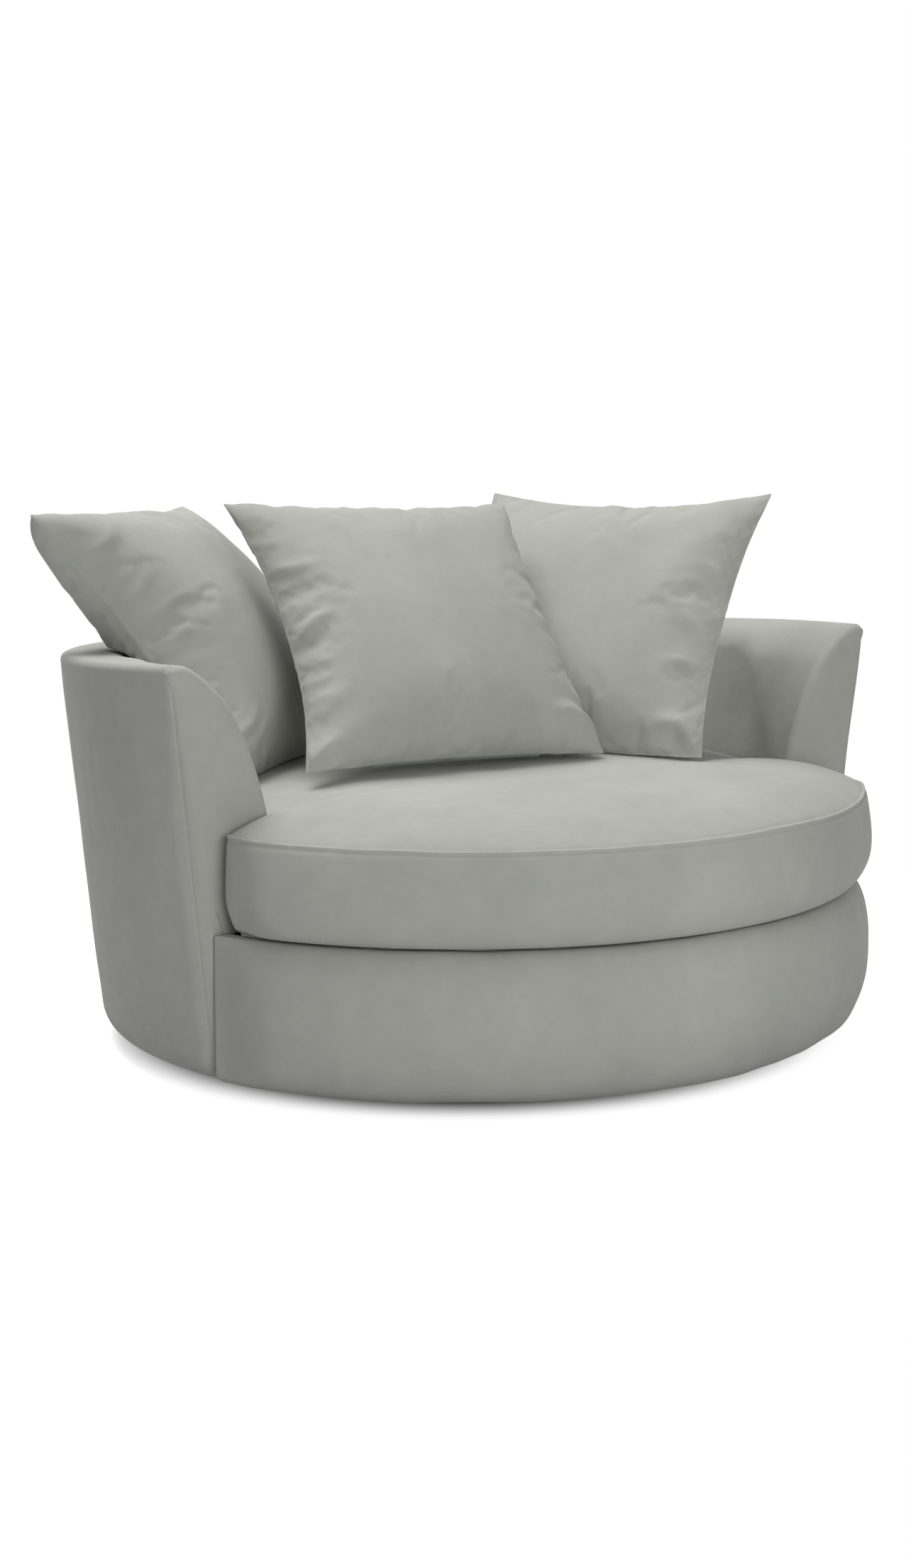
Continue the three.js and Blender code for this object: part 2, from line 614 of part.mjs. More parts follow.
for (let i = 0; i < SPRING_COUNT; i += 1) {
  add(`seat_spring_${i + 1}`, spring((i - (SPRING_COUNT - 1) / 2) * SPRING_SPACING), SPRING_STEEL);
}

// Swivel base

const pocketFloor = PLINTH_TOP - BOLT_HEAD_HEIGHT - 2 * FIT;
const plinthPocket = disc(BOLT_HEAD_RADIUS + BOLT_CLEARANCE, pocketFloor, BOARD_TOP, HOLE_SIDES);
const plinth = disc(PLINTH_RADIUS, GLIDE_HEIGHT, PLINTH_TOP, PLINTH_SIDES);
add("base_plinth", cut(plinth, plinthPocket), BOARD);

function glide(x, y) {
  const foot = GLIDE_RADIUS - GLIDE_CHAMFER;
  const side = [[GLIDE_RADIUS, GLIDE_CHAMFER], [GLIDE_RADIUS, GLIDE_HEIGHT]];
  return turned([[0, 0], [foot, 0], ...side, [0, GLIDE_HEIGHT]], GLIDE_SIDES).translate(x, y, 0);
}

add("glide_centre", glide(0, 0), PLASTIC);
const glideReach = PLINTH_RADIUS - GLIDE_RADIUS - GLIDE_EDGE_MARGIN;
for (let i = 1; i <= GLIDE_COUNT; i += 1) {
  const angle = i * 2 * Math.PI / GLIDE_COUNT;
  add(`glide_${i}`, glide(glideReach * Math.sin(angle), -glideReach * Math.cos(angle)), PLASTIC);
}

const plateHole = disc(BOLT_RADIUS + BOLT_CLEARANCE, 0, BOARD_TOP, HOLE_SIDES);
const lowerPlate = disc(PLATE_RADIUS, PLINTH_TOP, LOWER_PLATE_TOP, PLATE_SIDES);
add("bearing_lower_plate", cut(lowerPlate, plateHole), STEEL);
const upperPlate = disc(PLATE_RADIUS, UPPER_PLATE_BOTTOM, BOARD_BOTTOM, PLATE_SIDES);
add("bearing_upper_plate", cut(upperPlate, plateHole), STEEL);

function ballCage() {
  const low = BALL_HEIGHT - CAGE_THICKNESS / 2;
  const high = BALL_HEIGHT + CAGE_THICKNESS / 2;
  const inner = BALL_CIRCLE_RADIUS - CAGE_WIDTH / 2;
  const outer = BALL_CIRCLE_RADIUS + CAGE_WIDTH / 2;
  const section = [[inner, low], [outer, low], [outer, high], [inner, high], [inner, low]];
  const ring = turned(section, CAGE_SIDES);
  const balls = steps(BALL_COUNT - 1).map((_, i) => {
    const angle = i * 2 * Math.PI / BALL_COUNT;
    const ball = new THREE.SphereGeometry(BALL_RADIUS, BALL_SIDES, BALL_RINGS).rotateX(Math.PI / 2);
    const [x, y] = [Math.cos(angle), Math.sin(angle)].map((part) => part * BALL_CIRCLE_RADIUS);
    return ball.translate(x, y, BALL_HEIGHT);
  });
  return join(ring, ...balls);
}
add("ball_cage", ballCage(), STEEL);

const headTop = PLINTH_TOP - FIT;
const washerTop = BOARD_TOP + FIT + WASHER_THICKNESS;
const boltTop = washerTop + FIT + NUT_HEIGHT + BOLT_TAIL;
const boltProfile = [
  [0, headTop - BOLT_HEAD_HEIGHT],
  [BOLT_HEAD_RADIUS, headTop - BOLT_HEAD_HEIGHT],
  [BOLT_HEAD_RADIUS, headTop],
  [BOLT_RADIUS, headTop],
  [BOLT_RADIUS, boltTop],
  [0, boltTop],
];
add("pivot_bolt", turned(boltProfile, HOLE_SIDES), STEEL);
const washer = disc(WASHER_RADIUS, BOARD_TOP + FIT, washerTop, WASHER_SIDES);
add("pivot_washer", cut(washer, boltHole), STEEL);
const nutHole = disc(BOLT_RADIUS + BOLT_CLEARANCE / 2, washerTop, boltTop + CUT_OVERRUN, HOLE_SIDES);
const nut = disc(NUT_RADIUS, washerTop + FIT, washerTop + FIT + NUT_HEIGHT, NUT_SIDES);
add("pivot_nut", cut(nut, nutHole), STEEL);

// Seat cushion: sides bulge between a soft bottom edge and the top seam, and the top is crowned

const cushionCentre = new THREE.Vector2(0, CUSHION_CENTRE_Y);
const cushionBackRadius = wallRadius(CUSHION_BOTTOM) - WALL_THICKNESS - CUSHION_SIDE_GAP;
const cushionEarY = ARM_END_Y - COVER_THICKNESS - FIT - CUSHION_EAR_GAP;
const cushionOutline = earedOutline(CUSHION_SEAM_RADIUS, cushionBackRadius, cushionEarY, CUSHION_CORNER);
const cushionNormals = cushionOutline.map((_, i) => {
  const before = cushionOutline.at(i - 1);
  const after = cushionOutline[(i + 1) % cushionOutline.length];
  return new THREE.Vector2(after.y - before.y, before.x - after.x).normalize();
});

// The sides against the wall and the arms bulge least
const BACK_BULGE_SHARE = 0.15;
const FULL_BULGE_SHARE = 0.5;

function cushionRing(bulge, depth, height, scale = 1) {
  return cushionOutline.map((point, i) => {
    const normal = cushionNormals[i];
    const frontShare = THREE.MathUtils.smoothstep(-normal.y, 0, FULL_BULGE_SHARE);
    const outset = bulge * mix(BACK_BULGE_SHARE, 1, frontShare) - depth;
    const flat = point.clone().addScaledVector(normal, outset);
    flat.sub(cushionCentre).multiplyScalar(scale).add(cushionCentre);
    return new THREE.Vector3(flat.x, flat.y, height);
  });
}

// The crown rises quickly inside the seam and is nearly flat in the middle
const CROWN_POWER = 4;
const TOP_RING_SHARES = [0.94, 0.86, 0.75, 0.58, 0.36];
const INNER_RING_SHARES = [0.86, 0.58];
const crownHeight = (scale) => CUSHION_CROWN * (1 - scale ** CROWN_POWER);

function cushionSolid(depth, topShares) {
  const low = CUSHION_BOTTOM + depth;
  const high = CUSHION_SEAM_HEIGHT - depth;
  const heightShares = [0.08, 0.34, 0.66, 0.92];
  const bulgeShares = [0.05, 0.85, 1, 0.4];
  const sides = heightShares.map((share, i) => (
    cushionRing(CUSHION_BULGE * bulgeShares[i], depth, mix(low, high, share))));
  const foot = cushionRing(0, depth + CUSHION_EDGE_ROUND, low);
  const seam = cushionRing(0, depth, high);
  const top = topShares.map((scale) => cushionRing(0, depth, high + crownHeight(scale), scale));
  const centre = (height) => new THREE.Vector3(0, CUSHION_CENTRE_Y, height);
  return ringStack([foot, ...sides, seam, ...top], centre(low), centre(high + CUSHION_CROWN));
}

// The share of the way from the cushion's centre to its edge at a place on the seat
function edgeShare(x, y) {
  const way = new THREE.Vector2(x, y).sub(cushionCentre);
  const shares = cushionOutline.map((from, i) => {
    const side = cushionOutline[(i + 1) % cushionOutline.length].clone().sub(from);
    const start = from.clone().sub(cushionCentre);
    const along = start.cross(way) / way.cross(side);
    return along >= 0 && along <= 1 ? way.cross(side) / start.cross(side) : 0;
  });
  return limit(Math.max(...shares), 0, 1);
}

// The faceted top's height at a place on the seat
function seatHeight(x, y) {
  const share = edgeShare(x, y);
  const rings = [1, ...TOP_RING_SHARES, 0];
  const i = limit(rings.findIndex((ring) => ring < share), 1, rings.length - 1);
  const step = (share - rings[i]) / (rings[i - 1] - rings[i]);
  return CUSHION_SEAM_HEIGHT + mix(crownHeight(rings[i]), crownHeight(rings[i - 1]), step);
}

const CUSHION_ZIP_STEPS = 12;

// The zip lies in the cushion's back, in a slot that leads into the cover
function cushionTape(grow) {
  const reach = CUSHION_ZIP_LENGTH / 2 + grow;
  const arc = (radius) => steps(CUSHION_ZIP_STEPS).map((step) => {
    const x = mix(-reach, reach, step);
    return new THREE.Vector2(x, WALL_CENTRE_Y + Math.sqrt(radius ** 2 - x ** 2));
  });
  const overrun = grow > 0 ? CUT_OVERRUN : 0;
  const outside = arc(cushionBackRadius + overrun);
  const inside = arc(cushionBackRadius - CUSHION_FABRIC / 3 - overrun).reverse();
  const middle = (CUSHION_BOTTOM + CUSHION_SEAM_HEIGHT) / 2;
  const reachUp = ZIP_THICKNESS / 2 + grow;
  return slab([...outside, ...inside], middle - reachUp, middle + reachUp);
}

const cushionShell = cushionSolid(0, TOP_RING_SHARES);
const cushionHollow = cushionSolid(CUSHION_FABRIC, INNER_RING_SHARES);
add("seat_cushion_cover", cut(cushionShell, cushionHollow, cushionTape(FIT)), VELVET);
add("seat_cushion_core", cushionSolid(CUSHION_FABRIC + FIT, INNER_RING_SHARES), FOAM);
add("seat_cushion_zip", cushionTape(0), ZIP);

// Pillows: a square with drawn-in sides, full in the middle and thin at its four seams. The pillow's own X
// runs along its lower edge, Y up its face and Z out of its front.

const PILLOW_CELLS = 10;
const INSERT_CELLS = 7;
const PILLOW_ZIP_STEPS = 6;

const seatRadius = wallRadius(CUSHION_SEAM_HEIGHT) - WALL_THICKNESS;
const pillowSize = seatRadius - PILLOW_ROOM;

// Places are shares of the seat's radius from the wall's centre, and angles are in degrees
const PILLOWS = {
  left: {
    xShare: -0.69, yShare: 0.508, turn: 38.4, lean: 36.8, roll: -1.2, widthShare: 0.955,
    backShare: PILLOW_SIDE_BACK_SHARE, thinSide: 1, thinShare: 0.6,
  },
  middle: {
    xShare: -0.194, yShare: 0.076, turn: -3.3, lean: 41.9, roll: -1.5, widthShare: 1,
    backShare: PILLOW_BACK_SHARE, thinSide: 1, thinShare: 0,
  },
  right: {
    xShare: 0.498, yShare: 0.1, turn: -57.7, lean: 37.9, roll: 0, widthShare: 1,
    backShare: PILLOW_SIDE_BACK_SHARE, thinSide: -1, thinShare: 0.5,
  },
};

const pillowWidth = (pillow) => pillowSize * pillow.widthShare;
const drawnIn = (u, v) => u * (1 - PILLOW_DRAW_SHARE * (1 - v * v) * u * u);

// The filling thins out towards the side that its neighbour presses on
const THIN_START_SHARE = -0.3;
function fullness(pillow, u, v) {
  const thinning = pillow.thinShare * THREE.MathUtils.smoothstep(u * pillow.thinSide, THIN_START_SHARE, 1);
  return (1 - thinning) * Math.sqrt((1 - u * u) * (1 - v * v));
}

function pillowSolid(pillow, inset, cells) {
  const half = pillowWidth(pillow) / 2 - (inset > 0 ? PILLOW_SEAM : 0);
  const lines = steps(cells).map((step) => Math.sin((step - 1 / 2) * Math.PI));
  const layer = (side, bulge) => lines.flatMap((v) => lines.map((u) => {
    const rise = PILLOW_SEAM / 2 - inset + (bulge - inset) * fullness(pillow, u, v);
    return new THREE.Vector3(half * drawnIn(u, v), half * drawnIn(v, u), side * rise);
  }));
  const points = [...layer(1, pillowSize * PILLOW_FRONT_SHARE), ...layer(-1, pillowSize * pillow.backShare)];
  const row = cells + 1;
  const back = row * row;
  const faces = [];
  const quad = (a, b, c, d) => faces.push([a, b, c], [a, c, d]);
  for (let j = 0; j < cells; j += 1) {
    for (let i = 0; i < cells; i += 1) {
      const corner = j * row + i;
      quad(corner, corner + 1, corner + row + 1, corner + row);
      quad(back + corner, back + corner + row, back + corner + row + 1, back + corner + 1);
    }
    const [low, high, left, right] = [j, cells * row + j, j * row, j * row + cells];
    quad(low, back + low, back + low + 1, low + 1);
    quad(high, high + 1, back + high + 1, back + high);
    quad(left, left + row, back + left + row, back + left);
    quad(right, back + right, back + right + row, right + row);
  }
  return closedMesh(points, faces);
}

// The zip lies in the lower seam, in a slot that leads into the cover
function pillowTape(pillow, grow) {
  const half = pillowWidth(pillow) / 2;
  const reach = half * PILLOW_ZIP_SHARE + grow;
  const overrun = grow > 0 ? CUT_OVERRUN : 0;
  const edge = (size) => steps(PILLOW_ZIP_STEPS).map((step) => {
    const x = mix(-reach, reach, step);
    return new THREE.Vector2(x, size * drawnIn(-1, x / half));
  });
  const outside = edge(half - PILLOW_SEAM / 4 + overrun);
  const inside = edge(half - PILLOW_SEAM - overrun).reverse();
  const reachUp = ZIP_THICKNESS / 2 + grow;
  return slab([...outside, ...inside], -reachUp, reachUp);
}

// The corners of a pillow's shell where its group puts them
function placedCorners({ shell, group }) {
  group.updateMatrixWorld();
  const corners = shell.attributes.position;
  return Array.from({ length: corners.count }, (_, i) => (
    new THREE.Vector3().fromBufferAttribute(corners, i).applyMatrix4(group.matrixWorld)));
}

function pillowPiece(pillow) {
  const [turn, lean, roll] = [pillow.turn, pillow.lean, pillow.roll].map(THREE.MathUtils.degToRad);
  const group = new THREE.Group();
  group.rotation.set(Math.PI / 2 - lean, 0, turn, "ZXY");
  group.rotateZ(roll);
  group.position.set(pillow.xShare * seatRadius, WALL_CENTRE_Y + pillow.yShare * seatRadius, 0);
  return { pillow, group, shell: pillowSolid(pillow, 0, PILLOW_CELLS) };
}

// A pillow stands where its lowest point just clears the seat cushion
function rest(piece) {
  const gaps = placedCorners(piece).map(({ x, y, z }) => z - seatHeight(x, y));
  piece.group.position.z += PILLOW_REST_GAP - Math.min(...gaps);
}

// How far a point would have to come forward to clear the wall's inner face
function behindWall({ x, y, z }) {
  const height = z + WALL_RAKE_SHARE * y;
  const rise = limit((height - WALL_TOP + RIM_ROUND_DROP) / RIM_ROUND_DROP, 0, 1);
  const inset = WALL_THICKNESS - RIM_ROUND_WIDTH * (1 - Math.sqrt(1 - rise ** 2));
  const reach = wallRadius(height) - inset - PILLOW_REST_GAP;
  if (height > WALL_TOP || Math.abs(x) > reach) return 0;
  return y - WALL_CENTRE_Y - Math.sqrt(reach ** 2 - x ** 2);
}

// The three pillows come forward together, as far as the wall asks
const pieces = Object.entries(PILLOWS).map(([name, pillow]) => ({ name, ...pillowPiece(pillow) }));
pieces.forEach(rest);
const forward = Math.max(0, ...pieces.flatMap((piece) => placedCorners(piece).map(behindWall)));
for (const piece of pieces) {
  piece.group.position.y -= forward;
  rest(piece);
}

for (const { name, pillow, group, shell } of pieces) {
  const hollow = pillowSolid(pillow, PILLOW_FABRIC, INSERT_CELLS);
  const insertScale = 1 - 2 * FIT / (pillowSize * pillow.backShare - PILLOW_FABRIC);
  add(`pillow_cover_${name}`, cut(shell, hollow, pillowTape(pillow, FIT)), VELVET, group);
  add(`pillow_insert_${name}`, hollow.clone().scale(insertScale, insertScale, insertScale), FIBRE, group);
  add(`pillow_zip_${name}`, pillowTape(pillow, 0), ZIP, group);
  chair.add(group);
}

export default chair;
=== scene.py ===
# Cuddle chair: its looks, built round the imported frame. Metres, +Z up, the front faces -Y.
import json
import math

import bmesh
import bpy
import numpy as np
from mathutils import Matrix, Vector
from mathutils.bvhtree import BVHTree

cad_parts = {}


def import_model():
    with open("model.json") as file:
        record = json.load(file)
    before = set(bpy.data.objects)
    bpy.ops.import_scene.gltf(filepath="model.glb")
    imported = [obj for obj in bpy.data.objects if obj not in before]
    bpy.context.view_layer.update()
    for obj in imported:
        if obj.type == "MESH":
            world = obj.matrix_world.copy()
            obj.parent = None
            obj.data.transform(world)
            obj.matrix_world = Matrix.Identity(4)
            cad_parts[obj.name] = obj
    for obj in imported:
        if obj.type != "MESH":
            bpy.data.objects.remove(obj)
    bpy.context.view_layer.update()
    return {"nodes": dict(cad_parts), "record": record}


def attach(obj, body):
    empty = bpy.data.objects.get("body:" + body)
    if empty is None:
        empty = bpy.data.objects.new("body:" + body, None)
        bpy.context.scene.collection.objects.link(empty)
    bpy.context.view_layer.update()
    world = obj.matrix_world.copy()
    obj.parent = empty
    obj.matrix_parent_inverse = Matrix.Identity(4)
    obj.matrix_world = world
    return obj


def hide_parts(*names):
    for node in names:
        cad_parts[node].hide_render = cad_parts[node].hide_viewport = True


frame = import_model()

# Wall, as the model has it
WALL_CENTRE_Y = -0.052
WALL_TOP_RADIUS = 0.669
WALL_FLARE = 0.058
WALL_THICKNESS = 0.120
WALL_TOP = 0.632
WALL_RAKE = 0.045
ARM_END_Y = -0.240
BODY_BOTTOM = 0.0307
RAIL_TOP = 0.235
DECK_TOP = 0.2534
FOOT_ROUND = 0.032
FOOT_ROUND_WIDTH = 0.022
HEM_WIDTH = 0.038
EDGE_ROUND = 0.012
RIM_ROUND_WIDTH = 0.050
RIM_ROUND_DROP = 0.046
ARM_ROUND_DROP = 0.243
ARM_BLEND_LENGTH = 0.260
ROUND_POWER = 2
ARM_ROUND_POWER = 1.65
CLOTH = 0.003
WALL_FOOT_RADIUS = WALL_TOP_RADIUS - WALL_FLARE
FLARE_SLOPE = WALL_FLARE / (WALL_TOP - BODY_BOTTOM)
ARM_END_TURN = math.acos((WALL_CENTRE_Y - ARM_END_Y) / WALL_TOP_RADIUS)

# The arms' padding: where its two swells start, and the way over which each comes or goes
ARM_FULLNESS = 0.016
ARM_LOW_SHARE = 0.85
ARM_LOW_TOP = (0.645, 0.08)
ARM_LOW_REACH = 0.15
ARM_SWELL_RISE = 0.11
ARM_SWELL_FALL = (0.12, 0.14)
ARM_SWELL_TOP = (0.625, 0.05)
ARM_SWELL_FOOT = (0.36, 0.05)

# Points along the wall's and the panels' lines
WALL_COLUMNS = 261
LINER_COLUMNS = 121
STATION_DRAW = 0.55
COVER_END_SHARES = np.array([0.0003, 0.0006, 0.0011])
COVER_ROWS = (12, 60, 9)
PANEL_EDGE_ROWS = (9, 70, 9)
FRAME_ROWS = (3, 12, 3)
RIM_ROWS = 40
PANEL_RIM_ROWS = 60
FRAME_RIM_ROWS = 24
RIM_FLAT_ROWS = 8
FACE_ROWS = 24

# Where the wall's cloth lies calm: beside the hem, the rim and the arms' ends
HEM_CALM = (0.06, 0.08)
RIM_CALM = 0.05
END_CALM = (0.01, 0.05)
INNER_RIM_CALM = 0.03
INNER_END_CALM = 0.04
END_SEAM_SHARE = 0.8

# Arm end panels: the face's place, the round at its inner edge, and the softer one at its outer edge
PANEL_FACE_Y = -0.2453
PANEL_ROUND = 0.013
PANEL_PUFF = 0.003
PANEL_ROWS = 160
ARM_LEG_RADIUS = 0.605
FRAME_FRONT_INSET = 0.017
FRAME_BACK_INSET = 0.0085
FRAME_THICKNESS = 0.018
LINER_INSET = 0.0042
LINER_THICKNESS = 0.003
ARM_CORNER_ROUND = 0.030
ARM_CORNER_TIGHTENS = 0.23
ARM_CORNER_FADE = 0.036
ARM_SEAM_TURN = math.pi / 4
ARM_SEAM_LAP = 0.05
ARM_SEAM_DEPTH = 0.0014
ARM_SEAM_SHOWS_FROM = (0.53, 0.08)
ARM_SEAM_WIDTH = 0.0016
PANEL_COLUMNS = 41
PANEL_PUFF_EDGE = 0.04
PANEL_CALM = 0.03
PANEL_CLOTH = 0.002
LEG_TOP = DECK_TOP - 0.012
LEG_BEND = (0.006, 0.012)
LEG_X = math.sqrt(ARM_LEG_RADIUS ** 2 - ARM_END_Y ** 2)
FRAME_POINTS = 181
FRAME_GAP = 0.0005

# Front rail cover
FRONT_RADIUS = 0.662
FRONT_TUCK = 0.041
FRONT_TOP = 0.250
FRONT_END_Y = -0.2475
FRONT_END_ROUND = 0.006
FRONT_END_RADIUS = 0.631
FRONT_END_BLEND = 0.13
FRONT_ROWS = 40
FRONT_HEIGHT_SHARES = np.array([0, 0.05, 0.22, 0.5, 0.74, 0.88, 0.965, 1])
FRONT_BULGE_SHARES = np.array([0.0, 0.35, 0.78, 1, 0.95, 0.78, 0.50, 0.22])
FRONT_HEM_RADIUS = 0.552
FRONT_TOP_RADII = (0.618, 0.606)
FRONT_TOP_DROP = 0.001
FRONT_MIDDLE_RADIUS = 0.60
FRONT_MIDDLE_WIDTH = 0.02
FRONT_END_HIGH = (0.22, 0.03)
FRONT_END_LOW = (0.07, 0.04)
FRONT_END_LOW_SHARE = 0.6
FRONT_CLOSE_SHARE = 0.012
FRONT_CLOSE_COLUMNS = 7
FRONT_COLUMNS = 120
FRONT_TURNED_IN = 0.968
FRONT_CALM = 0.05
PAD_COLUMNS = 90
PAD_INSET = 0.007
PAD_END = 0.006
RAIL_FACE = 0.6055

# Seat cushion
SEAM_RADIUS = 0.650
SEAM_HEIGHT = 0.396
CUSHION_BOTTOM = 0.2537
CUSHION_CROWN = 0.050
CROWN_POWER = 5.5
CUSHION_BULGE = 0.012
CUSHION_TUCK = 0.027
CUSHION_EAR_Y = -0.2576
CUSHION_EAR_DRAW = 0.022
CUSHION_EAR_TURN = 0.17
CUSHION_EAR_LIFT = 0.008
CUSHION_BACK_RADIUS = 0.5085
CUSHION_CORNER = 0.034
CUSHION_CENTRE_Y = -0.300
CORE_INSET = 0.007
SEAM_RIDGE = 0.0013
SEAM_RIDGE_WIDTH = 0.0016
SEAM_DEPTH = 0.0016
SEAM_TOP_SHARE = 0.4
SEAM_WIDTH = 0.0028
SEAM_GROOVE_AT = 0.0048
PUCKER_SIZE = 0.016
PUCKER_SEED = 43
PUCKER_DEPTH = 0.0004
PUCKER_TOP_DEPTH = 0.0008
PUCKER_REACH = 0.02
SEAT_CALM = (0.01, 0.04)
SEAT_MIDDLE_HEIGHT = 0.33
EAR_FROM = (0.552, 0.02)
EAR_BULGE_LOSS = 0.8
EAR_TUCK_LOSS = 0.55
FRONT_FACING = 0.5
BACK_BULGE_SHARE = 0.15
BACK_TUCK_SHARE = 0.7
BOTTOM_TUCK_SHARE = 1.5
LOW_SIDE_POWER = 0.9
HIGH_SIDE_POWER = 0.6
LOW_SIDE_ROWS = 30
HIGH_SIDE_ROWS = 20
CROWN_ROWS = 50
SEAM_RING = LOW_SIDE_ROWS + HIGH_SIDE_ROWS - 1
SIDE_CLOSER = 1.8
CROWN_CLOSER = 1.7
CROWN_REACH = 0.985
OUTLINE_ROWS = 160
OUTLINE_BEND_ROWS = 12
OUTLINE_POINTS = 221

# Deck under the seat cushion
DECK_CLOTH_BOTTOM = 0.2394
DECK_CLOTH_THICKNESS = 0.0014
DUST_RADIUS = 0.547
DUST_BACK_RADIUS = 0.548
DUST_HOLE = 0.153
DUST_BOTTOM = 0.0346
DUST_THICKNESS = 0.0011
DUST_CORNER = 0.003
DECK_CLOTH_LIFT = 0.0002
CLOTH_RINGS = 16
DECK_PAD_BOTTOM = 0.2412
DECK_FRONT_RADIUS = 0.6035
DECK_EDGE_GAP = 0.0015
DECK_ROUND = 0.005
DECK_DIMPLE = 0.0015
DECK_DIMPLE_SIZE = 0.09
DECK_DIMPLE_SEED = 51
DECK_ROWS = (12, 9, 30)
MIDDLE_SHARE = 0.02

# Pillows: sizes, how they give way to what they touch, their seams, fillings and zips
PILLOW_SIZE = 0.524
PILLOW_CELLS = 60
PILLOW_GAP = 0.002
PILLOW_LIP = 0.0015
PRESS_PASSES = 3
PRESS_REACH = 0.53
PRESS_START = 0.3
PANELS_APART = 0.02
PANELS_APART_EDGE = 0.15
SEAM_CALM = 0.3
SEAM_CALM_EDGE = 0.2
SEAM_BOW_POWER = 2.4
THIN_FROM = -0.3
CREASE_EDGE = 0.05
CREASE_WAY_EDGE = 0.3
LIP_AT = 1.9
LIP_WIDTH = 1.5
GATHERS = (0.028, 0.013)
GATHER_FINE_SHARE = 0.6
GATHER_HEIGHT = 0.0010
GATHER_REACH = 0.022
GATHER_START = 0.004
FILLING_THIN = 0.88
FILLING_SIZE = 0.965
ZIP_SHARE = 0.22
ZIP_WIDTH = 0.007
ZIP_THICKNESS = 0.002
ZIP_SUNK = 0.4
ZIP_POINTS = 61
SEAT_NEAR = 0.02
WALL_LOW = 0.3

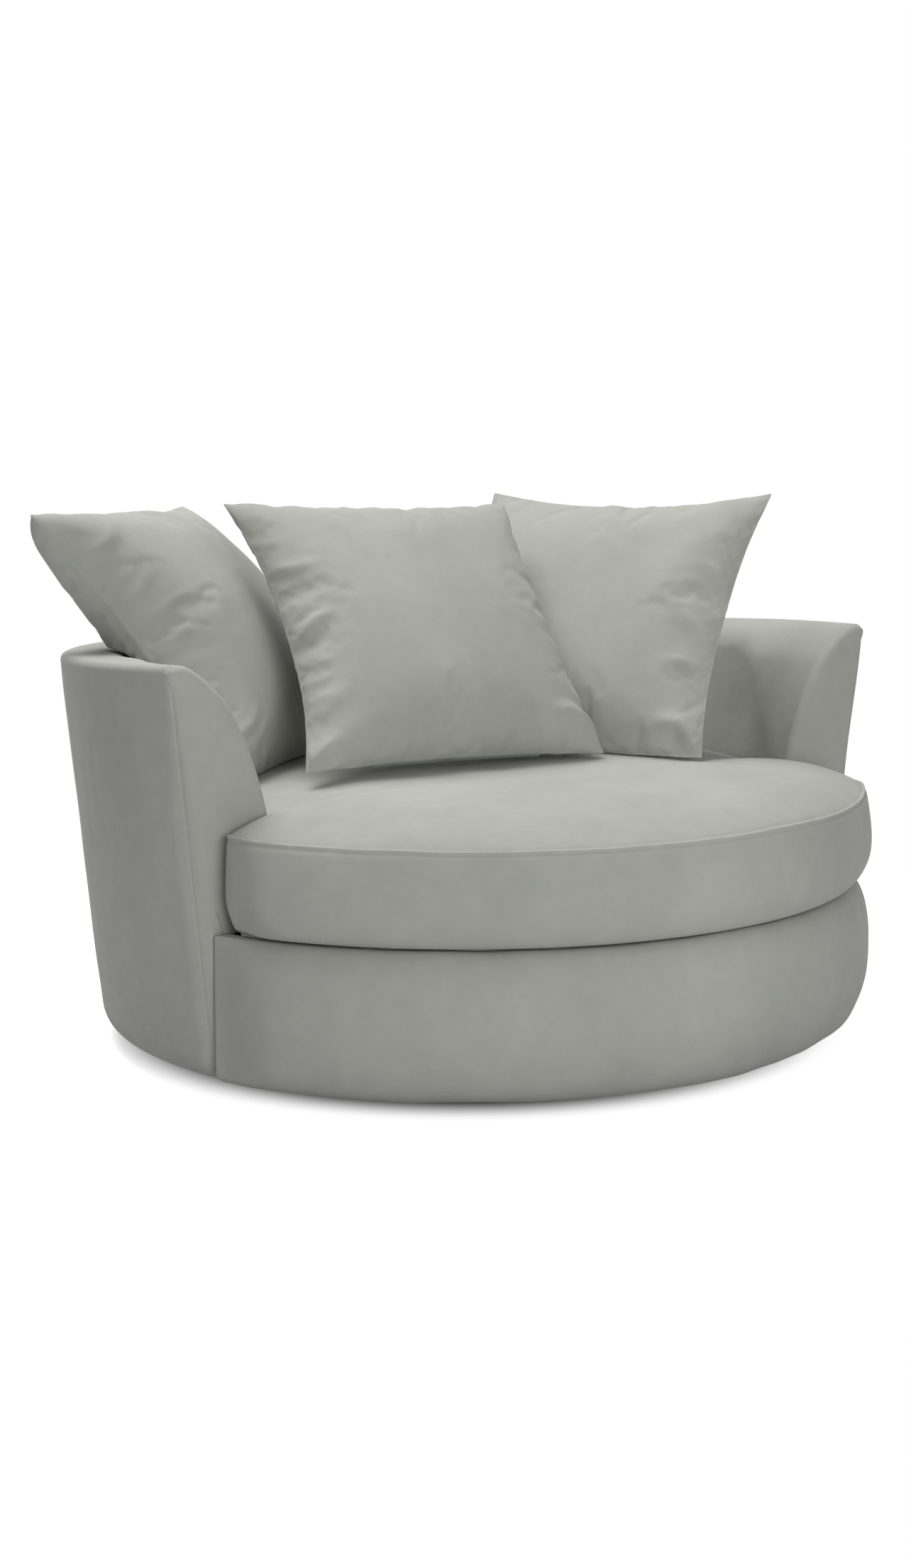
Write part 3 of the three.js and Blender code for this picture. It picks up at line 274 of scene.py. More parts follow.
# Pillows: each has its middle's place, and its turn, lean and roll in degrees
# Places on a pillow are shares of half its size from its middle, first to the right and then up its face
# corners are low left, low right, top left and top right; draws pull in the low, high, left and right side
# front and back are the bulges, full and full_back how fast they fall to the seam, thin how flat one side is
# Each crease is a line, a width, a depth and a lip
PILLOWS = {
    "left": {
        "place": (-0.3631, 0.2153, 0.6384), "turn": 38.4, "lean": 36.8, "roll": -1.2,
        "front": 0.118, "back": 0.094, "thin_side": 1, "thin": 0.35, "full": 1.1, "full_back": 0.75,
        "pinch": 2.3,
        "corners": ((-0.955, -1), (1.09, -1), (-1.10, 0.95), (0.86, 0.95)),
        "draws": (0.03, 0.07, 0.175, -0.05),
        "blow": {"seed": 6, "pressure": 12, "shrink": 0.035, "frames": 28}, "calm": 0.6, "fill": 0.75,
        "creases": [
            ([(-0.99, 0.56), (-0.86, 0.60), (-0.72, 0.70)], 0.011, 0.005, 0.003),
            ([(-0.93, 0.36), (-0.84, 0.38), (-0.74, 0.43)], 0.010, 0.004, 0.002),
            ([(-0.90, 0.24), (-0.82, 0.27), (-0.70, 0.35)], 0.011, 0.005, 0.002),
            ([(-0.83, -0.08), (-0.76, -0.08), (-0.60, -0.05)], 0.010, 0.003, 0.001),
            ([(-0.78, -0.78), (-0.66, -0.75), (-0.54, -0.66)], 0.011, 0.006, 0.003),
            ([(-0.76, -0.88), (-0.62, -0.84), (-0.46, -0.74)], 0.013, 0.007, 0.003),
        ],
    },
    "middle": {
        "place": (-0.1021, -0.0120, 0.6488), "turn": -3.3, "lean": 41.9, "roll": -1.5,
        "front": 0.092, "back": 0.050, "thin_side": 1, "thin": 0, "full": 1.0, "full_back": 1.0,
        "pinch": 1,
        "corners": ((-1.008, -1.0), (1.0, -0.965), (-0.98, 1.008), (0.975, 1.0)),
        "draws": (0.04, 0.085, 0.155, 0.08),
        "blow": {"seed": 1, "pressure": 10, "shrink": 0.035, "frames": 26}, "calm": 0.3, "fill": 0.65,
        "creases": [
            ([(-0.90, 0.50), (-0.84, 0.42), (-0.76, 0.36), (-0.60, 0.33)], 0.010, 0.007, 0.005),
            ([(-0.85, -0.08), (-0.80, -0.10), (-0.73, -0.04), (-0.62, -0.03)], 0.010, 0.009, 0.007),
            ([(-0.93, 0.74), (-0.80, 0.73)], 0.009, 0.003, 0.002),
            ([(-0.90, 0.62), (-0.78, 0.59)], 0.009, 0.002, 0.001),
            ([(-0.84, -0.21), (-0.70, -0.23)], 0.008, 0.002, 0.001),
            ([(-0.86, -0.32), (-0.70, -0.34)], 0.008, 0.0025, 0.001),
            ([(-0.87, -0.43), (-0.72, -0.46)], 0.008, 0.003, 0.001),
            ([(-0.89, -0.55), (-0.74, -0.57)], 0.008, 0.003, 0.001),
            ([(-0.91, -0.70), (-0.82, -0.64), (-0.66, -0.52)], 0.013, 0.005, 0.004),
            ([(-0.99, -0.96), (-0.90, -0.90), (-0.78, -0.82)], 0.011, 0.010, 0.006),
            ([(0.98, -0.80), (0.86, -0.77), (0.76, -0.74), (0.60, -0.76)], 0.010, 0.008, 0.004),
            ([(0.97, -0.66), (0.80, -0.60)], 0.009, 0.004, 0.002),
            ([(-0.10, -0.97), (-0.06, -0.86)], 0.012, 0.003, 0.001),
        ],
    },
    "right": {
        "place": (0.2621, 0.0006, 0.6526), "turn": -57.7, "lean": 37.9, "roll": 0,
        "front": 0.086, "back": 0.046, "thin_side": -1, "thin": 0.3, "full": 1.35, "full_back": 1.35,
        "pinch": 1,
        "corners": ((-1, -1), (0.96, -0.975), (-1.0, 0.965), (0.965, 0.995)),
        "draws": (0.0, 0.115, 0.04, 0.10),
        "blow": {"seed": 2, "pressure": 9, "shrink": 0.05, "frames": 26}, "calm": 0.5, "fill": 0.65,
        "creases": [
            ([(0.87, 0.24), (0.82, 0.26), (0.74, 0.36)], 0.010, 0.005, -0.003),
            ([(0.87, -0.20), (0.81, -0.17), (0.76, -0.12), (0.66, -0.04)], 0.011, 0.006, -0.004),
            ([(0.88, -0.46), (0.81, -0.42), (0.74, -0.39), (0.60, -0.44)], 0.011, 0.007, -0.005),
            ([(0.88, -0.52), (0.78, -0.50), (0.64, -0.46)], 0.010, 0.004, 0.002),
            ([(0.93, 0.64), (0.80, 0.60)], 0.010, 0.003, 0.002),
            ([(0.90, -0.90), (0.80, -0.80), (0.62, -0.82)], 0.013, 0.014, -0.008),
            ([(0.90, -0.97), (0.78, -0.95)], 0.009, 0.004, 0.003),
            ([(-0.72, 0.93), (-0.70, 0.82)], 0.011, 0.005, 0.002),
            ([(-0.10, 0.88), (-0.08, 0.78)], 0.012, 0.004, 0.001),
        ],
    },
}

# Cloth simulation of the pillows
CLOTH_CUT = 0.56
CLOTH_START = 0.03
CLOTH_RIPPLE = 0.004
CLOTH_RIPPLE_SIZE = 0.08
CLOTH_SETTINGS = {
    "quality": 6, "mass": 0.15, "tension_stiffness": 15, "compression_stiffness": 15, "shear_stiffness": 5,
    "bending_stiffness": 0.5, "air_damping": 2, "use_pressure": True, "vertex_group_shrink": "seam",
    "shrink_min": 0,
}

# Uneven cloth: for each layer of ripples its height, size, seed and how far it is stretched upwards
WAVES = {
    "outside": ((0.0014, 0.22, 11, 0.4), (0.0005, 0.07, 12, 1)),
    "inside": ((0.0016, 0.16, 21, 1), (0.0007, 0.06, 22, 1)),
    "panel": ((0.0009, 0.09, 25, 1),),
    "front": ((0.0012, 0.15, 31, 1), (0.0005, 0.05, 32, 1)),
    "seat": ((0.0022, 0.17, 41, 1), (0.0008, 0.06, 42, 1)),
}
RIPPLE_COUNT = 28
RIPPLE_SPREAD = (0.6, 1.4)
RIPPLE_LEVEL = 0.9

TINY = 1e-6

# Angles in degrees from which an edge is sharp
SHARP_BOARD = 30
SHARP_FOAM = 40
SHARP_CLOTH = 60
SHARP_NEVER = 180

# Colours, linear
VELVET_COLOUR = (0.425, 0.430, 0.392)

# The velvet's noises, and how far each changes the colour or lifts the surface
VELVET_CLOUDS = {"scale": 5.0, "detail": 4.0, "rough": 0.55, "stretch": (1, 1, 0.45)}
VELVET_BRUSHED = {"scale": 34.0, "detail": 5.0, "rough": 0.65}
VELVET_NAP = {"scale": 55.0, "detail": 4.0, "rough": 0.6}
VELVET_PILE = {"scale": 900.0, "detail": 3.0, "rough": 0.7}
CLOUD_SHADE = 0.07
BRUSHED_SHADE = (0.93, 0.93, 0.93)
VELVET_RANGE = (0.3, 0.7)
NAP_BUMP = (0.16, 0.004)
PILE_BUMP = (0.25, 0.0006)
VELVET_ROUGHNESS = 0.95
WEAVE_SCALE = 0.314
WEAVE_PITCH = 0.0009
WEAVE_BUMP = (0.5, 0.0003)
WEAVE_SHADE = 0.15
WEAVE_CLOUDS = 20.0
GRAIN_STRENGTH = 0.4


# Arrays and noise

def smooth(x):
    x = np.clip(x, 0, 1)
    return x * x * (3 - 2 * x)


def rise(value, start, length):
    """0 up to a start, and from there smoothly to 1 over a length."""
    return smooth((value - start) / length)


def fall(value, end, length):
    """1 and then smoothly 0 over a length, from an end on."""
    return smooth((end - value) / length)


def mix(a, b, t):
    return a + (b - a) * t


def steps(count):
    return np.linspace(0, 1, count)


def ripple(points, size, seed):
    """Smooth noise, about -1 to 1, whose bumps are about size across."""
    rng = np.random.default_rng(seed)
    ways = rng.normal(size=(RIPPLE_COUNT, 3))
    ways /= np.linalg.norm(ways, axis=1)[:, None]
    waves = ways * (math.pi / size) * rng.uniform(*RIPPLE_SPREAD, (RIPPLE_COUNT, 1))
    phases = rng.uniform(0, 2 * math.pi, RIPPLE_COUNT)
    return np.sin(points @ waves.T + phases).sum(-1) / math.sqrt(RIPPLE_COUNT) * RIPPLE_LEVEL


def uneven(points, name):
    """The sum of a cloth's ripples at each point."""
    return sum(height * ripple(points * (1, 1, up), size, seed) for height, size, seed, up in WAVES[name])


def fall_back(way, radius):
    """How far a quarter round of this radius falls back, at a way along from where it starts."""
    left = np.maximum(radius - way, 0)
    return radius - np.sqrt(np.maximum(radius ** 2 - left ** 2, 0))


def grid_normals(grid, closed_rows=False, closed_columns=False):
    """Unit normals of a grid of points, rows by columns."""
    def along(axis, closed):
        if closed:
            return np.roll(grid, -1, axis) - np.roll(grid, 1, axis)
        return np.gradient(grid, axis=axis)
    across = np.cross(along(0, closed_rows), along(1, closed_columns))
    return across / np.maximum(np.linalg.norm(across, axis=-1, keepdims=True), 1e-12)


# Meshes

def quads(index, closed=False):
    """Quads over a grid of vertex numbers; closed joins its last column to its first."""
    if closed:
        index = np.concatenate([index, index[:, :1]], 1)
    corners = [index[:-1, :-1], index[:-1, 1:], index[1:, 1:], index[1:, :-1]]
    return np.stack([c.ravel() for c in corners], 1).tolist()


def make(name, points, faces, material, sharp_from):
    mesh = bpy.data.meshes.new(name)
    mesh.from_pydata(np.asarray(points, float).reshape(-1, 3).tolist(), [], faces)
    mesh.validate()
    mesh.update()
    obj = bpy.data.objects.new(name, mesh)
    bpy.context.scene.collection.objects.link(obj)
    mesh.materials.append(material)
    face_out(obj)
    for polygon in mesh.polygons:
        polygon.use_smooth = True
    mesh.set_sharp_from_angle(angle=math.radians(sharp_from))
    return obj


def face_out(obj):
    """Turns the faces of a closed mesh outwards."""
    mesh = bmesh.new()
    mesh.from_mesh(obj.data)
    bmesh.ops.remove_doubles(mesh, verts=mesh.verts, dist=1e-6)
    bmesh.ops.recalc_face_normals(mesh, faces=mesh.faces)
    if mesh.calc_volume(signed=True) < 0:
        bmesh.ops.reverse_faces(mesh, faces=mesh.faces)
    mesh.to_mesh(obj.data)
    mesh.free()


def sheet(name, grid, material, thickness=CLOTH, side=1):
    """A closed skin: the grid's face and another one behind it, joined round the border."""
    rows, columns = grid.shape[:2]
    back = grid - side * thickness * grid_normals(grid)
    count = rows * columns
    index = np.arange(count).reshape(rows, columns)
    border = np.concatenate([index[0, :-1], index[:-1, -1], index[-1, :0:-1], index[:0:-1, 0]])
    faces = quads(index) + quads(index + count)
    faces += quads(np.stack([np.append(border, border[0]), np.append(border, border[0]) + count]))
    points = np.concatenate([grid.reshape(-1, 3), back.reshape(-1, 3)])
    return make(name, points, faces, material, SHARP_CLOTH)


def stack(name, rings, material, low, high, sharp_from=SHARP_CLOTH):
    """A closed form through rings, with a fan at each end."""
    rows, columns = rings.shape[:2]
    index = np.arange(rows * columns).reshape(rows, columns)
    faces = quads(index, closed=True)
    low_at, high_at = rows * columns, rows * columns + 1
    for i in range(columns):
        j = (i + 1) % columns
        faces.append([index[0, j], index[0, i], low_at])
        faces.append([index[-1, i], index[-1, j], high_at])
    points = np.concatenate([rings.reshape(-1, 3), [low, high]])
    return make(name, points, [[int(v) for v in face] for face in faces], material, sharp_from)


def dress(obj, body, slot, *nodes):
    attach(obj, body)
    if nodes:
        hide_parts(*nodes)
    return obj


# Materials

def add_node(tree, kind, inputs=None, **values):
    """A node with its settings, and for each input its value or the node and output that feed it."""
    node = tree.nodes.new(kind)
    for key, value in values.items():
        setattr(node, key, value)
    for entry, source in (inputs or {}).items():
        if isinstance(source, tuple) and isinstance(source[0], bpy.types.Node):
            tree.links.new(source[0].outputs[source[1]], node.inputs[entry])
        else:
            node.inputs[entry].default_value = source
    return node


class Nodes:
    """A material's node tree, with a short way to add its nodes."""

    def __init__(self, name):
        self.material = bpy.data.materials.new(name)
        self.material.use_nodes = True
        self.tree = self.material.node_tree
        self.tree.nodes.clear()
        self.place = self.add("ShaderNodeTexCoord")

    def add(self, kind, inputs=None, **values):
        return add_node(self.tree, kind, inputs, **values)

    def noise(self, scale, detail=2.0, rough=0.5, stretch=(1, 1, 1)):
        mapping = self.add("ShaderNodeMapping", {"Scale": stretch, "Vector": (self.place, "Object")})
        return self.add("ShaderNodeTexNoise", {
            "Scale": scale, "Detail": detail, "Roughness": rough, "Vector": (mapping, "Vector")})

    def ramp(self, source, low, high, start=0.35, end=0.65):
        node = self.add("ShaderNodeValToRGB", {"Fac": (source, 0)})
        for element, position, colour in zip(node.color_ramp.elements, (start, end), (low, high)):
            element.position = position
            element.color = (*colour, 1)
        return node

    def bump(self, source, strength, distance, **onto):
        return self.add("ShaderNodeBump", {
            "Strength": strength, "Distance": distance, "Height": (source, 0), **onto})

    def finish(self, colour, bump, roughness, metallic=0.0, **extra):
        shader = self.add("ShaderNodeBsdfPrincipled", {
            "Base Color": colour, "Roughness": roughness, "Metallic": metallic, "Normal": (bump, "Normal"),
            **{key.replace("_", " "): value for key, value in extra.items()}})
        self.add("ShaderNodeOutputMaterial", {"Surface": (shader, "BSDF")})
        return self.material


def shade(colour, factor):
    return tuple(min(1.0, part * factor) for part in colour)


def velvet():
    """Short-pile velvet: a matt base, cloudy nap, a fine pile and a soft sheen at grazing angles."""
    nodes = Nodes("velvet")
    dark, light = shade(VELVET_COLOUR, 1 - CLOUD_SHADE), shade(VELVET_COLOUR, 1 + CLOUD_SHADE)
    clouds = nodes.ramp(nodes.noise(**VELVET_CLOUDS), dark, light, *VELVET_RANGE)
    brushed = nodes.ramp(nodes.noise(**VELVET_BRUSHED), BRUSHED_SHADE, (1, 1, 1), *VELVET_RANGE)
    mixed = nodes.add("ShaderNodeMix", {"Factor": 1.0, 6: (clouds, 0), 7: (brushed, 0)}, data_type="RGBA",
                      blend_type="MULTIPLY")
    nap = nodes.bump(nodes.noise(**VELVET_NAP), *NAP_BUMP)
    pile = nodes.bump(nodes.noise(**VELVET_PILE), *PILE_BUMP, Normal=(nap, "Normal"))
    return nodes.finish((mixed, 2), pile, VELVET_ROUGHNESS, Sheen_Weight=0.12, Sheen_Roughness=0.45,
                        Specular_IOR_Level=0.15)


def grained(name, colour, scale, stretch, contrast=0.25, roughness=0.7, metallic=0.0, depth=0.0004):
    """Any plain material with a streaked or mottled colour and a matching fine relief."""
    nodes = Nodes(name)
    grain = nodes.noise(scale, 5.0, 0.6, stretch)
    colours = nodes.ramp(grain, shade(colour, 1 - contrast), shade(colour, 1 + contrast))
    return nodes.finish((colours, 0), nodes.bump(grain, GRAIN_STRENGTH, depth), roughness, metallic)


def woven(name, colour):
    """A thin cloth with a fine square weave."""
    nodes = Nodes(name)
    wave = {"Scale": WEAVE_SCALE / WEAVE_PITCH, "Vector": (nodes.place, "Object")}
    across, along = [
        nodes.add("ShaderNodeTexWave", wave, wave_type="BANDS", bands_direction=way) for way in ("X", "Y")]
    weave = nodes.add("ShaderNodeMath", {0: (across, "Fac"), 1: (along, "Fac")}, operation="MULTIPLY")
    dark, light = shade(colour, 1 - WEAVE_SHADE), shade(colour, 1 + WEAVE_SHADE)
    cloud = nodes.ramp(nodes.noise(WEAVE_CLOUDS), dark, light)
    return nodes.finish((cloud, 0), nodes.bump(weave, *WEAVE_BUMP), VELVET_ROUGHNESS)


VELVET = velvet()
MATERIALS = {
    "velvet": VELVET,
    "foam": grained("foam", (0.78, 0.74, 0.58), 420.0, (1, 1, 1), 0.12, 0.95),
    "fibre": grained("fibre", (0.87, 0.86, 0.82), 160.0, (1, 0.3, 1), 0.08, 1.0, 0.0, 0.001),
    "black_cloth": woven("black_cloth", (0.02, 0.02, 0.022)),
    "board": grained("board", (0.32, 0.23, 0.13), 260.0, (1, 1, 1), 0.22, 0.85),
    "timber": grained("timber", (0.57, 0.39, 0.18), 60.0, (0.15, 1, 1), 0.25, 0.7),
    "steel": grained("steel", (0.62, 0.63, 0.65), 90.0, (1, 1, 1), 0.08, 0.32, 1.0, 0.0001),
    "spring_steel": grained("spring_steel", (0.25, 0.26, 0.28), 300.0, (1, 1, 1), 0.15, 0.4, 1.0, 0.0001),
    "plastic": grained("plastic", (0.03, 0.032, 0.035), 500.0, (1, 1, 1), 0.1, 0.55),
    "zip": grained("zip", (0.27, 0.29, 0.26), 700.0, (1, 1, 1), 0.2, 0.6),
}


# Wall geometry: inset is the way in from the outer face, and share runs 0 to 1 from right arm to left arm

def wall_radius(height):
    return WALL_FOOT_RADIUS + (height - BODY_BOTTOM) * FLARE_SLOPE


def wall_points(inset, height, angle):
    """Points on the wall at an angle from the front about the wall's centre, raked with height."""
    radius = wall_radius(height) - inset
    x = radius * np.sin(angle)
    y = WALL_CENTRE_Y - radius * np.cos(angle)
    raise_share = np.clip((height - RAIL_TOP) / (WALL_TOP - RAIL_TOP), 0, 1)
    return np.stack(np.broadcast_arrays(x, y, height - raise_share * WALL_RAKE * y), -1)


def end_angle(inset, height, end_y):
    return np.arccos((WALL_CENTRE_Y - end_y) / (wall_radius(height) - inset))


def wall_surface(insets, heights, shares, end_y):
    """A grid over the wall, rows up the profile and columns round it; the ends lie in the plane end_y."""
    first = end_angle(insets, heights, end_y)
    angle = first + 2 * (math.pi - first) * shares
    return wall_points(insets, heights, angle)


def end_line(insets, heights, plane):
    """The wall's section in the plane of an arm's end, as x and height."""
    return wall_surface(insets, heights, np.zeros((1, 1)), plane)[:, 0][:, [0, 2]]


def from_arm_end(shares):
    """The way round the rim from the nearer arm's end."""
    return np.minimum(shares, 1 - shares) * 2 * (math.pi - ARM_END_TURN) * WALL_TOP_RADIUS


def arm_fullness(height, away):
    """How much the padding swells an arm's inner face, at a height and a distance from the arm's end."""
    foot = rise(height, *ARM_SWELL_FOOT)
    low = ARM_LOW_SHARE * fall(height, *ARM_LOW_TOP) * foot * (1 - smooth(away / ARM_LOW_REACH))
    swell = smooth(away / ARM_SWELL_RISE) * (1 - rise(away, *ARM_SWELL_FALL))
    return ARM_FULLNESS * (low + swell * foot * fall(height, *ARM_SWELL_TOP))


def rim_profile(arm, count):
    """Insets and heights of the rim and the inner face down to the deck, for each value of arm."""
    power = mix(ROUND_POWER, ARM_ROUND_POWER, arm)
    width = mix(RIM_ROUND_WIDTH, WALL_THICKNESS - 2 * EDGE_ROUND, arm)
    drop = mix(RIM_ROUND_DROP, ARM_ROUND_DROP, arm)
    flat = WALL_THICKNESS - width
    turn = (steps(count) * math.pi / 2)[:, None]
    inset = flat + np.sin(turn) ** (2 / power) * width
    height = WALL_TOP - drop + np.cos(turn) ** (2 / power) * drop
    lead = steps(RIM_FLAT_ROWS)[:-1, None]
    inset = np.concatenate([mix(EDGE_ROUND, flat, lead), inset])
    height = np.concatenate([np.full_like(lead * flat, WALL_TOP), height])
    tail = steps(FACE_ROWS)[1:, None]
    inset = np.concatenate([inset, np.full_like(tail * flat, WALL_THICKNESS)])
    return inset, np.concatenate([height, mix(height[-1:], DECK_TOP, tail)])


def wall_stations(count):
    """Places round the wall, closer together near the arms' ends."""
    t = steps(count)
    return t - STATION_DRAW / (2 * math.pi) * np.sin(2 * math.pi * t)


def arm_corner(height):
    """The round at an arm's outer front edge: its radius and the turn of its seam, for each height."""
    near_top = smooth((height - (WALL_TOP - ARM_CORNER_FADE)) / (ARM_CORNER_FADE - EDGE_ROUND))
    tight = smooth((height - (WALL_TOP - ARM_CORNER_TIGHTENS)) / (ARM_CORNER_TIGHTENS - ARM_CORNER_FADE))
    return mix(ARM_CORNER_ROUND, PANEL_ROUND, tight), ARM_SEAM_TURN * (1 - near_top)


def outside_profile(foot_count, face_count, edge_count):
    """Insets and heights of the outer face, from the foot's round up to the rim's outer edge."""
    foot_turn = steps(foot_count)[:, None] * math.pi / 2
    edge_turn = steps(edge_count)[1:, None] * math.pi / 2
    face = mix(BODY_BOTTOM + FOOT_ROUND, WALL_TOP - EDGE_ROUND, steps(face_count)[1:, None])
    foot_inset, edge_inset = FOOT_ROUND_WIDTH * (1 - np.sin(foot_turn)), EDGE_ROUND * (1 - np.cos(edge_turn))
    foot = BODY_BOTTOM + FOOT_ROUND * (1 - np.cos(foot_turn))
    edge = WALL_TOP - EDGE_ROUND * (1 - np.sin(edge_turn))
    return np.concatenate([foot_inset, 0 * face, edge_inset]), np.concatenate([foot, face, edge])


def outside_cover():
    close = COVER_END_SHARES
    shares = np.sort(np.concatenate([wall_stations(WALL_COLUMNS), close, 1 - close]))[None, :]
    insets, heights = outside_profile(*COVER_ROWS)
    insets = np.concatenate([[[FOOT_ROUND_WIDTH + HEM_WIDTH]], insets])
    heights = np.concatenate([[[BODY_BOTTOM]], heights])
    radius, turn = arm_corner(heights)
    grid = wall_surface(insets, heights, shares, PANEL_FACE_Y + radius * (1 - np.sin(turn)))
    grid[..., 0] -= np.sign(grid[..., 0]) * fall_back(grid[..., 1] - PANEL_FACE_Y, radius)
    wave = uneven(grid, "outside") * (rise(heights, *HEM_CALM) * fall(heights, WALL_TOP, RIM_CALM))
    wave *= rise(grid[..., 1] - PANEL_FACE_Y, *END_CALM)
    from_end = np.minimum(shares, 1 - shares) * math.tau * WALL_TOP_RADIUS * END_SEAM_SHARE
    wave -= ARM_SEAM_DEPTH * np.exp(-(from_end / ARM_SEAM_WIDTH) ** 2)
    grid = grid - grid_normals(grid) * wave[..., None]
    return dress(sheet("outside_cover_skin", grid, VELVET, side=-1), "seat_body", "velvet", "outside_cover")


def inside_cover():
    shares = wall_stations(WALL_COLUMNS)[None, :]
    away = from_arm_end(shares)
    insets, heights = rim_profile(1 - smooth(away / ARM_BLEND_LENGTH), RIM_ROWS)
    grid = wall_surface(insets + arm_fullness(heights, away), heights, shares, PANEL_FACE_Y + PANEL_ROUND)
    calm = rise(insets, EDGE_ROUND, INNER_RIM_CALM)
    calm = calm * rise(grid[..., 1] - PANEL_FACE_Y, PANEL_ROUND, INNER_END_CALM)
    grid = grid - grid_normals(grid) * (uneven(grid, "inside") * calm)[..., None]
    return dress(sheet("inside_cover_skin", grid, VELVET, side=-1), "seat_body", "velvet", "inside_cover")


def distance_to(line, points):
    """Distance in the plane from each point to an open line."""
    start, way = line[:-1], np.diff(line, axis=0)
    rel = points[..., None, :] - start
    t = np.clip((rel * way).sum(-1) / np.maximum((way * way).sum(-1), 1e-12), 0, 1)
    return np.linalg.norm(rel - t[..., None] * way, axis=-1).min(-1)


def resample(line, count):
    """Points evenly spaced along a polyline."""
    lengths = np.append(0, np.cumsum(np.linalg.norm(np.diff(line, axis=0), axis=1)))
    at = steps(count) * lengths[-1]
    return np.stack([np.interp(at, lengths, line[:, k]) for k in range(line.shape[1])], 1)


def panel_outer_line():
    """The panel's outer edge as x and height, with its round's radius and turn at each point."""
    insets, heights = outside_profile(*PANEL_EDGE_ROWS)
    radius, turn = arm_corner(heights)
    turn = turn - ARM_SEAM_LAP
    line = end_line(insets, heights, PANEL_FACE_Y + radius * (1 - np.sin(turn)))
    line[:, :1] -= radius * (1 - np.cos(turn))
    return resample(np.concatenate([line, radius, turn], 1), PANEL_ROWS)


def panel_inner_line():
    """The panel's inner edge as x and height, from the hem up the hidden leg and over the arm's curve."""
    inset, height = rim_profile(np.ones((1, 1)), PANEL_RIM_ROWS)
    curve = end_line(inset + arm_fullness(height, 0), height, PANEL_FACE_Y + PANEL_ROUND)
    leg = np.array([[LEG_X + LEG_BEND[0], LEG_TOP], [LEG_X, LEG_TOP - LEG_BEND[1]], [LEG_X, BODY_BOTTOM]])
    return resample(np.concatenate([curve, leg])[::-1], PANEL_ROWS)


def arm_panel(name, side):
    """The flat front of an arm, softly rounded back to its seam all round."""
    outer = panel_outer_line()
    inner = panel_inner_line()
    across = (0.5 - 0.5 * np.cos(steps(PANEL_COLUMNS) * math.pi))[None, :, None]
    plane = mix(outer[:, None, :2], inner[:, None], across)
    radius, turn = outer[:, 2:3], outer[:, 3:4]
    from_outer = distance_to(outer[:, :2], plane)
    from_inner = distance_to(inner, plane)
    recess = np.maximum(fall_back(from_outer + radius * (1 - np.cos(turn)), radius),
                        fall_back(from_inner, PANEL_ROUND))
    depth = np.minimum(from_outer, from_inner)
    puff = PANEL_PUFF * (1 - np.exp(-depth / PANEL_PUFF_EDGE))
    recess += ARM_SEAM_DEPTH * np.exp(-(from_outer / ARM_SEAM_WIDTH) ** 2)
    near_top = rise(plane[..., 1], *ARM_SEAM_SHOWS_FROM)
    recess += ARM_SEAM_DEPTH * near_top * np.exp(-(from_inner / ARM_SEAM_WIDTH) ** 2)
    grid = np.stack([side * plane[..., 0], PANEL_FACE_Y + recess - puff, plane[..., 1]], -1)
    grid[..., 1] += uneven(grid, "panel") * smooth(depth / PANEL_CALM)
    piece = sheet(name, grid, VELVET, PANEL_CLOTH, side)
    return dress(piece, "seat_body", "velvet", "arm_end_cover_" + ("right" if side > 0 else "left"))


def outline_board(name, front, back, front_y, back_y, material):
    """A flat board between two outlines of as many points, given as x and height."""
    count = len(front)
    points = [(x, front_y, z) for x, z in front] + [(x, back_y, z) for x, z in back]
    faces = [[i, (i + 1) % count, (i + 1) % count + count, i + count] for i in range(count)]
    faces += [list(range(count)), list(range(count, 2 * count))]
    return make(name, points, faces, material, SHARP_BOARD)


def drawn_in(line, distance):
    """A closed outline moved inwards by a distance."""
    way = np.roll(line, -1, 0) - np.roll(line, 1, 0)
    normal = np.stack([-way[:, 1], way[:, 0]], 1) / np.linalg.norm(way, axis=1)[:, None]
    area = (line[:, 0] * np.roll(line[:, 1], -1) - line[:, 1] * np.roll(line[:, 0], -1)).sum()
    return line + normal * math.copysign(distance, area)


def arm_frame(name, side):
    """The timber end of an arm, chamfered inside the cover's round edges."""
    outer = end_line(*outside_profile(*FRAME_ROWS), ARM_END_Y)
    inner = end_line(*rim_profile(np.ones((1, 1)), FRAME_RIM_ROWS), ARM_END_Y)
    leg = np.array([[LEG_X, LEG_TOP], [LEG_X, BODY_BOTTOM]])
    whole = resample(np.concatenate([outer, inner[1:], leg, outer[:1]]), FRAME_POINTS)[:-1]
    front, back = drawn_in(whole, FRAME_FRONT_INSET), drawn_in(whole, FRAME_BACK_INSET)
    mirror = (side, 1)
    piece = outline_board("arm_board_" + name, front * mirror, back * mirror, ARM_END_Y + FRAME_GAP,
                          ARM_END_Y + FRAME_THICKNESS, MATERIALS["timber"])
    return dress(piece, "seat_body", "timber", "arm_frame_" + name)


def liner():
    heights = mix(BODY_BOTTOM + FOOT_ROUND, WALL_TOP - 2 * EDGE_ROUND, steps(FACE_ROWS))[:, None]
    shares = wall_stations(LINER_COLUMNS)[None]
    grid = wall_surface(LINER_INSET, heights, shares, PANEL_FACE_Y + ARM_CORNER_ROUND)
    piece = sheet("liner_board", grid, MATERIALS["board"], LINER_THICKNESS, side=-1)
    return dress(piece, "seat_body", "board", "outside_liner")


# Front rail cover: an arc about the swivel axis

